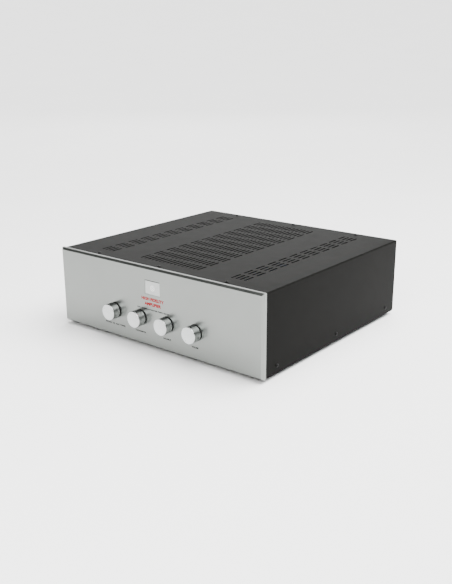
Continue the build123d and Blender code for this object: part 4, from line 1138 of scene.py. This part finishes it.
def make_valve_glasses(material):
    """Blown envelopes with an inner wall, a rounded shoulder and a sealed tip."""
    bm = bmesh.new()
    for box in islands("valve_glasses"):
        r = (box[1].x - box[0].x) / 2
        tall = box[1].z - box[0].z
        shoulder = tall - TIP_HEIGHT - r
        inner_r = r - GLASS_WALL
        outer = shoulder_arc(r, shoulder, SHOULDER_STEPS)
        outer += [(reach, tall - below) for reach, below in TIP]
        foot = [(r, GLASS_FOOT), (r - GLASS_WALL / 2, 0), (inner_r, GLASS_FOOT)]
        inner = shoulder_arc(inner_r, shoulder, SHOULDER_STEPS + 1)
        middle = centre(box)
        place = Matrix.Translation((middle.x, middle.y, box[0].z))
        lathe(bm, [*reversed(outer), *foot, *inner], place, 64)
    finish_mesh("valve_glasses_blown", bm, material, "chassis", "valve_glasses")


# ================================================================ everything together
def main():
    make_camera()
    make_lights()
    make_floor()
    aluminium = blasted_aluminium()
    turned = turned_aluminium()
    cover = powder_coat("cover_paint", (0.0022, 0.0022, 0.0018))
    dark = powder_coat("chassis_paint", (0.0036, 0.0036, 0.0034))
    black = ink("black_ink", (0.008, 0.008, 0.008))
    red = ink("red_ink", (0.26, 0.001, 0.006))
    zinc = plated("zinc_plate", (0.60, 0.60, 0.57), 0.34)
    steel = plated("ground_steel", (0.62, 0.62, 0.62), 0.22)
    gold = plated("gold_plate", (0.52, 0.33, 0.09), 0.20)
    nickel = plated("nickel_plate", (0.74, 0.72, 0.66), 0.22)
    oxide = black_oxide()
    badge = badge_metal()
    enamel = glazed("badge_enamel", (0.93, 0.94, 0.92))
    plastic = moulded("black_plastic", (0.006, 0.006, 0.006), 0.42)
    red_plastic = moulded("red_plastic", (0.24, 0.002, 0.002), 0.28)
    white_plastic = moulded("white_plastic", (0.45, 0.45, 0.43), 0.32)
    white_ink = ink("white_ink", (0.40, 0.40, 0.39))
    for name in CONTROLS:
        make_knob(name, turned)
        make_index_dot(name, black)
    make_knob_shade_rings(felt())
    softened("front_panel", 0.18 * MM, aluminium)
    make_badge(badge, enamel, black)
    make_lettering(black, red)
    make_cover_screws(oxide)
    make_feet(rubber())
    make_rear_lettering(white_ink)
    make_input_sockets(gold, plastic)
    make_speaker_studs(gold)
    make_rocker_marks(white_ink)
    make_valve_glasses(valve_glass())
    controls = plated("control_plate", (0.42, 0.42, 0.40), 0.36)
    edges = {
        "top_cover": (cover, 0.16),
        "rear_panel": (dark, 0.16),
        "rear_flanges": (dark, 0.2),
        "base_tray": (dark, 0.16),
        "front_subpanel": (zinc, 0.2),
        "transformer_brackets": (zinc, 0.25),
        "transformer_bolts": (zinc, 0.2),
        "board_pillars": (zinc, 0.15),
        "panel_nuts": (zinc, 0.25),
        "frame_screws": (zinc, 0.1),
        "foot_screws": (zinc, 0.15),
        "selector_switch": (controls, 0.15),
        "monitor_switch": (controls, 0.15),
        "balance_potentiometer": (controls, 0.2),
        "volume_potentiometer": (controls, 0.2),
        "transformer_cores": (laminations(), 0.2),
        "transformer_coils": (winding(), 0.4),
        "circuit_board": (solder_mask(), 0.15),
        "valve_sockets": (glazed("ceramic", (0.80, 0.78, 0.72)), 0.15),
        "valve_electrodes": (plated("carbonised_nickel", (0.16, 0.16, 0.16), 0.5), 0.1),
        "supply_capacitors": (sleeve("capacitor_sleeve", (0.02, 0.05, 0.16)), 0.2),
        "left_socket_cores": (white_plastic, 0.15),
        "right_socket_cores": (red_plastic, 0.15),
        "speaker_bushes": (plastic, 0.25),
        "mains_inlet": (plastic, 0.3),
        "fuse_drawer": (plastic, 0.2),
        "rocker_frame": (plastic, 0.2),
        "power_rocker": (plastic, 0.3),
        "inlet_pins": (nickel, 0.12),
        "fuse": (nickel, 0.2),
    }
    for name in CONTROLS:
        edges[f"{name}_shaft"] = (steel, 0.3)
        edges[f"{name}_grub_screw"] = (oxide, 0.1)
    for name in TERMINALS:
        edges[f"{name}_washer"] = (gold, 0.15)
        make_thumb_nut(name, red_plastic if "positive" in name else plastic)
    for node, (material, width) in edges.items():
        softened(node, width * MM, material)


main()
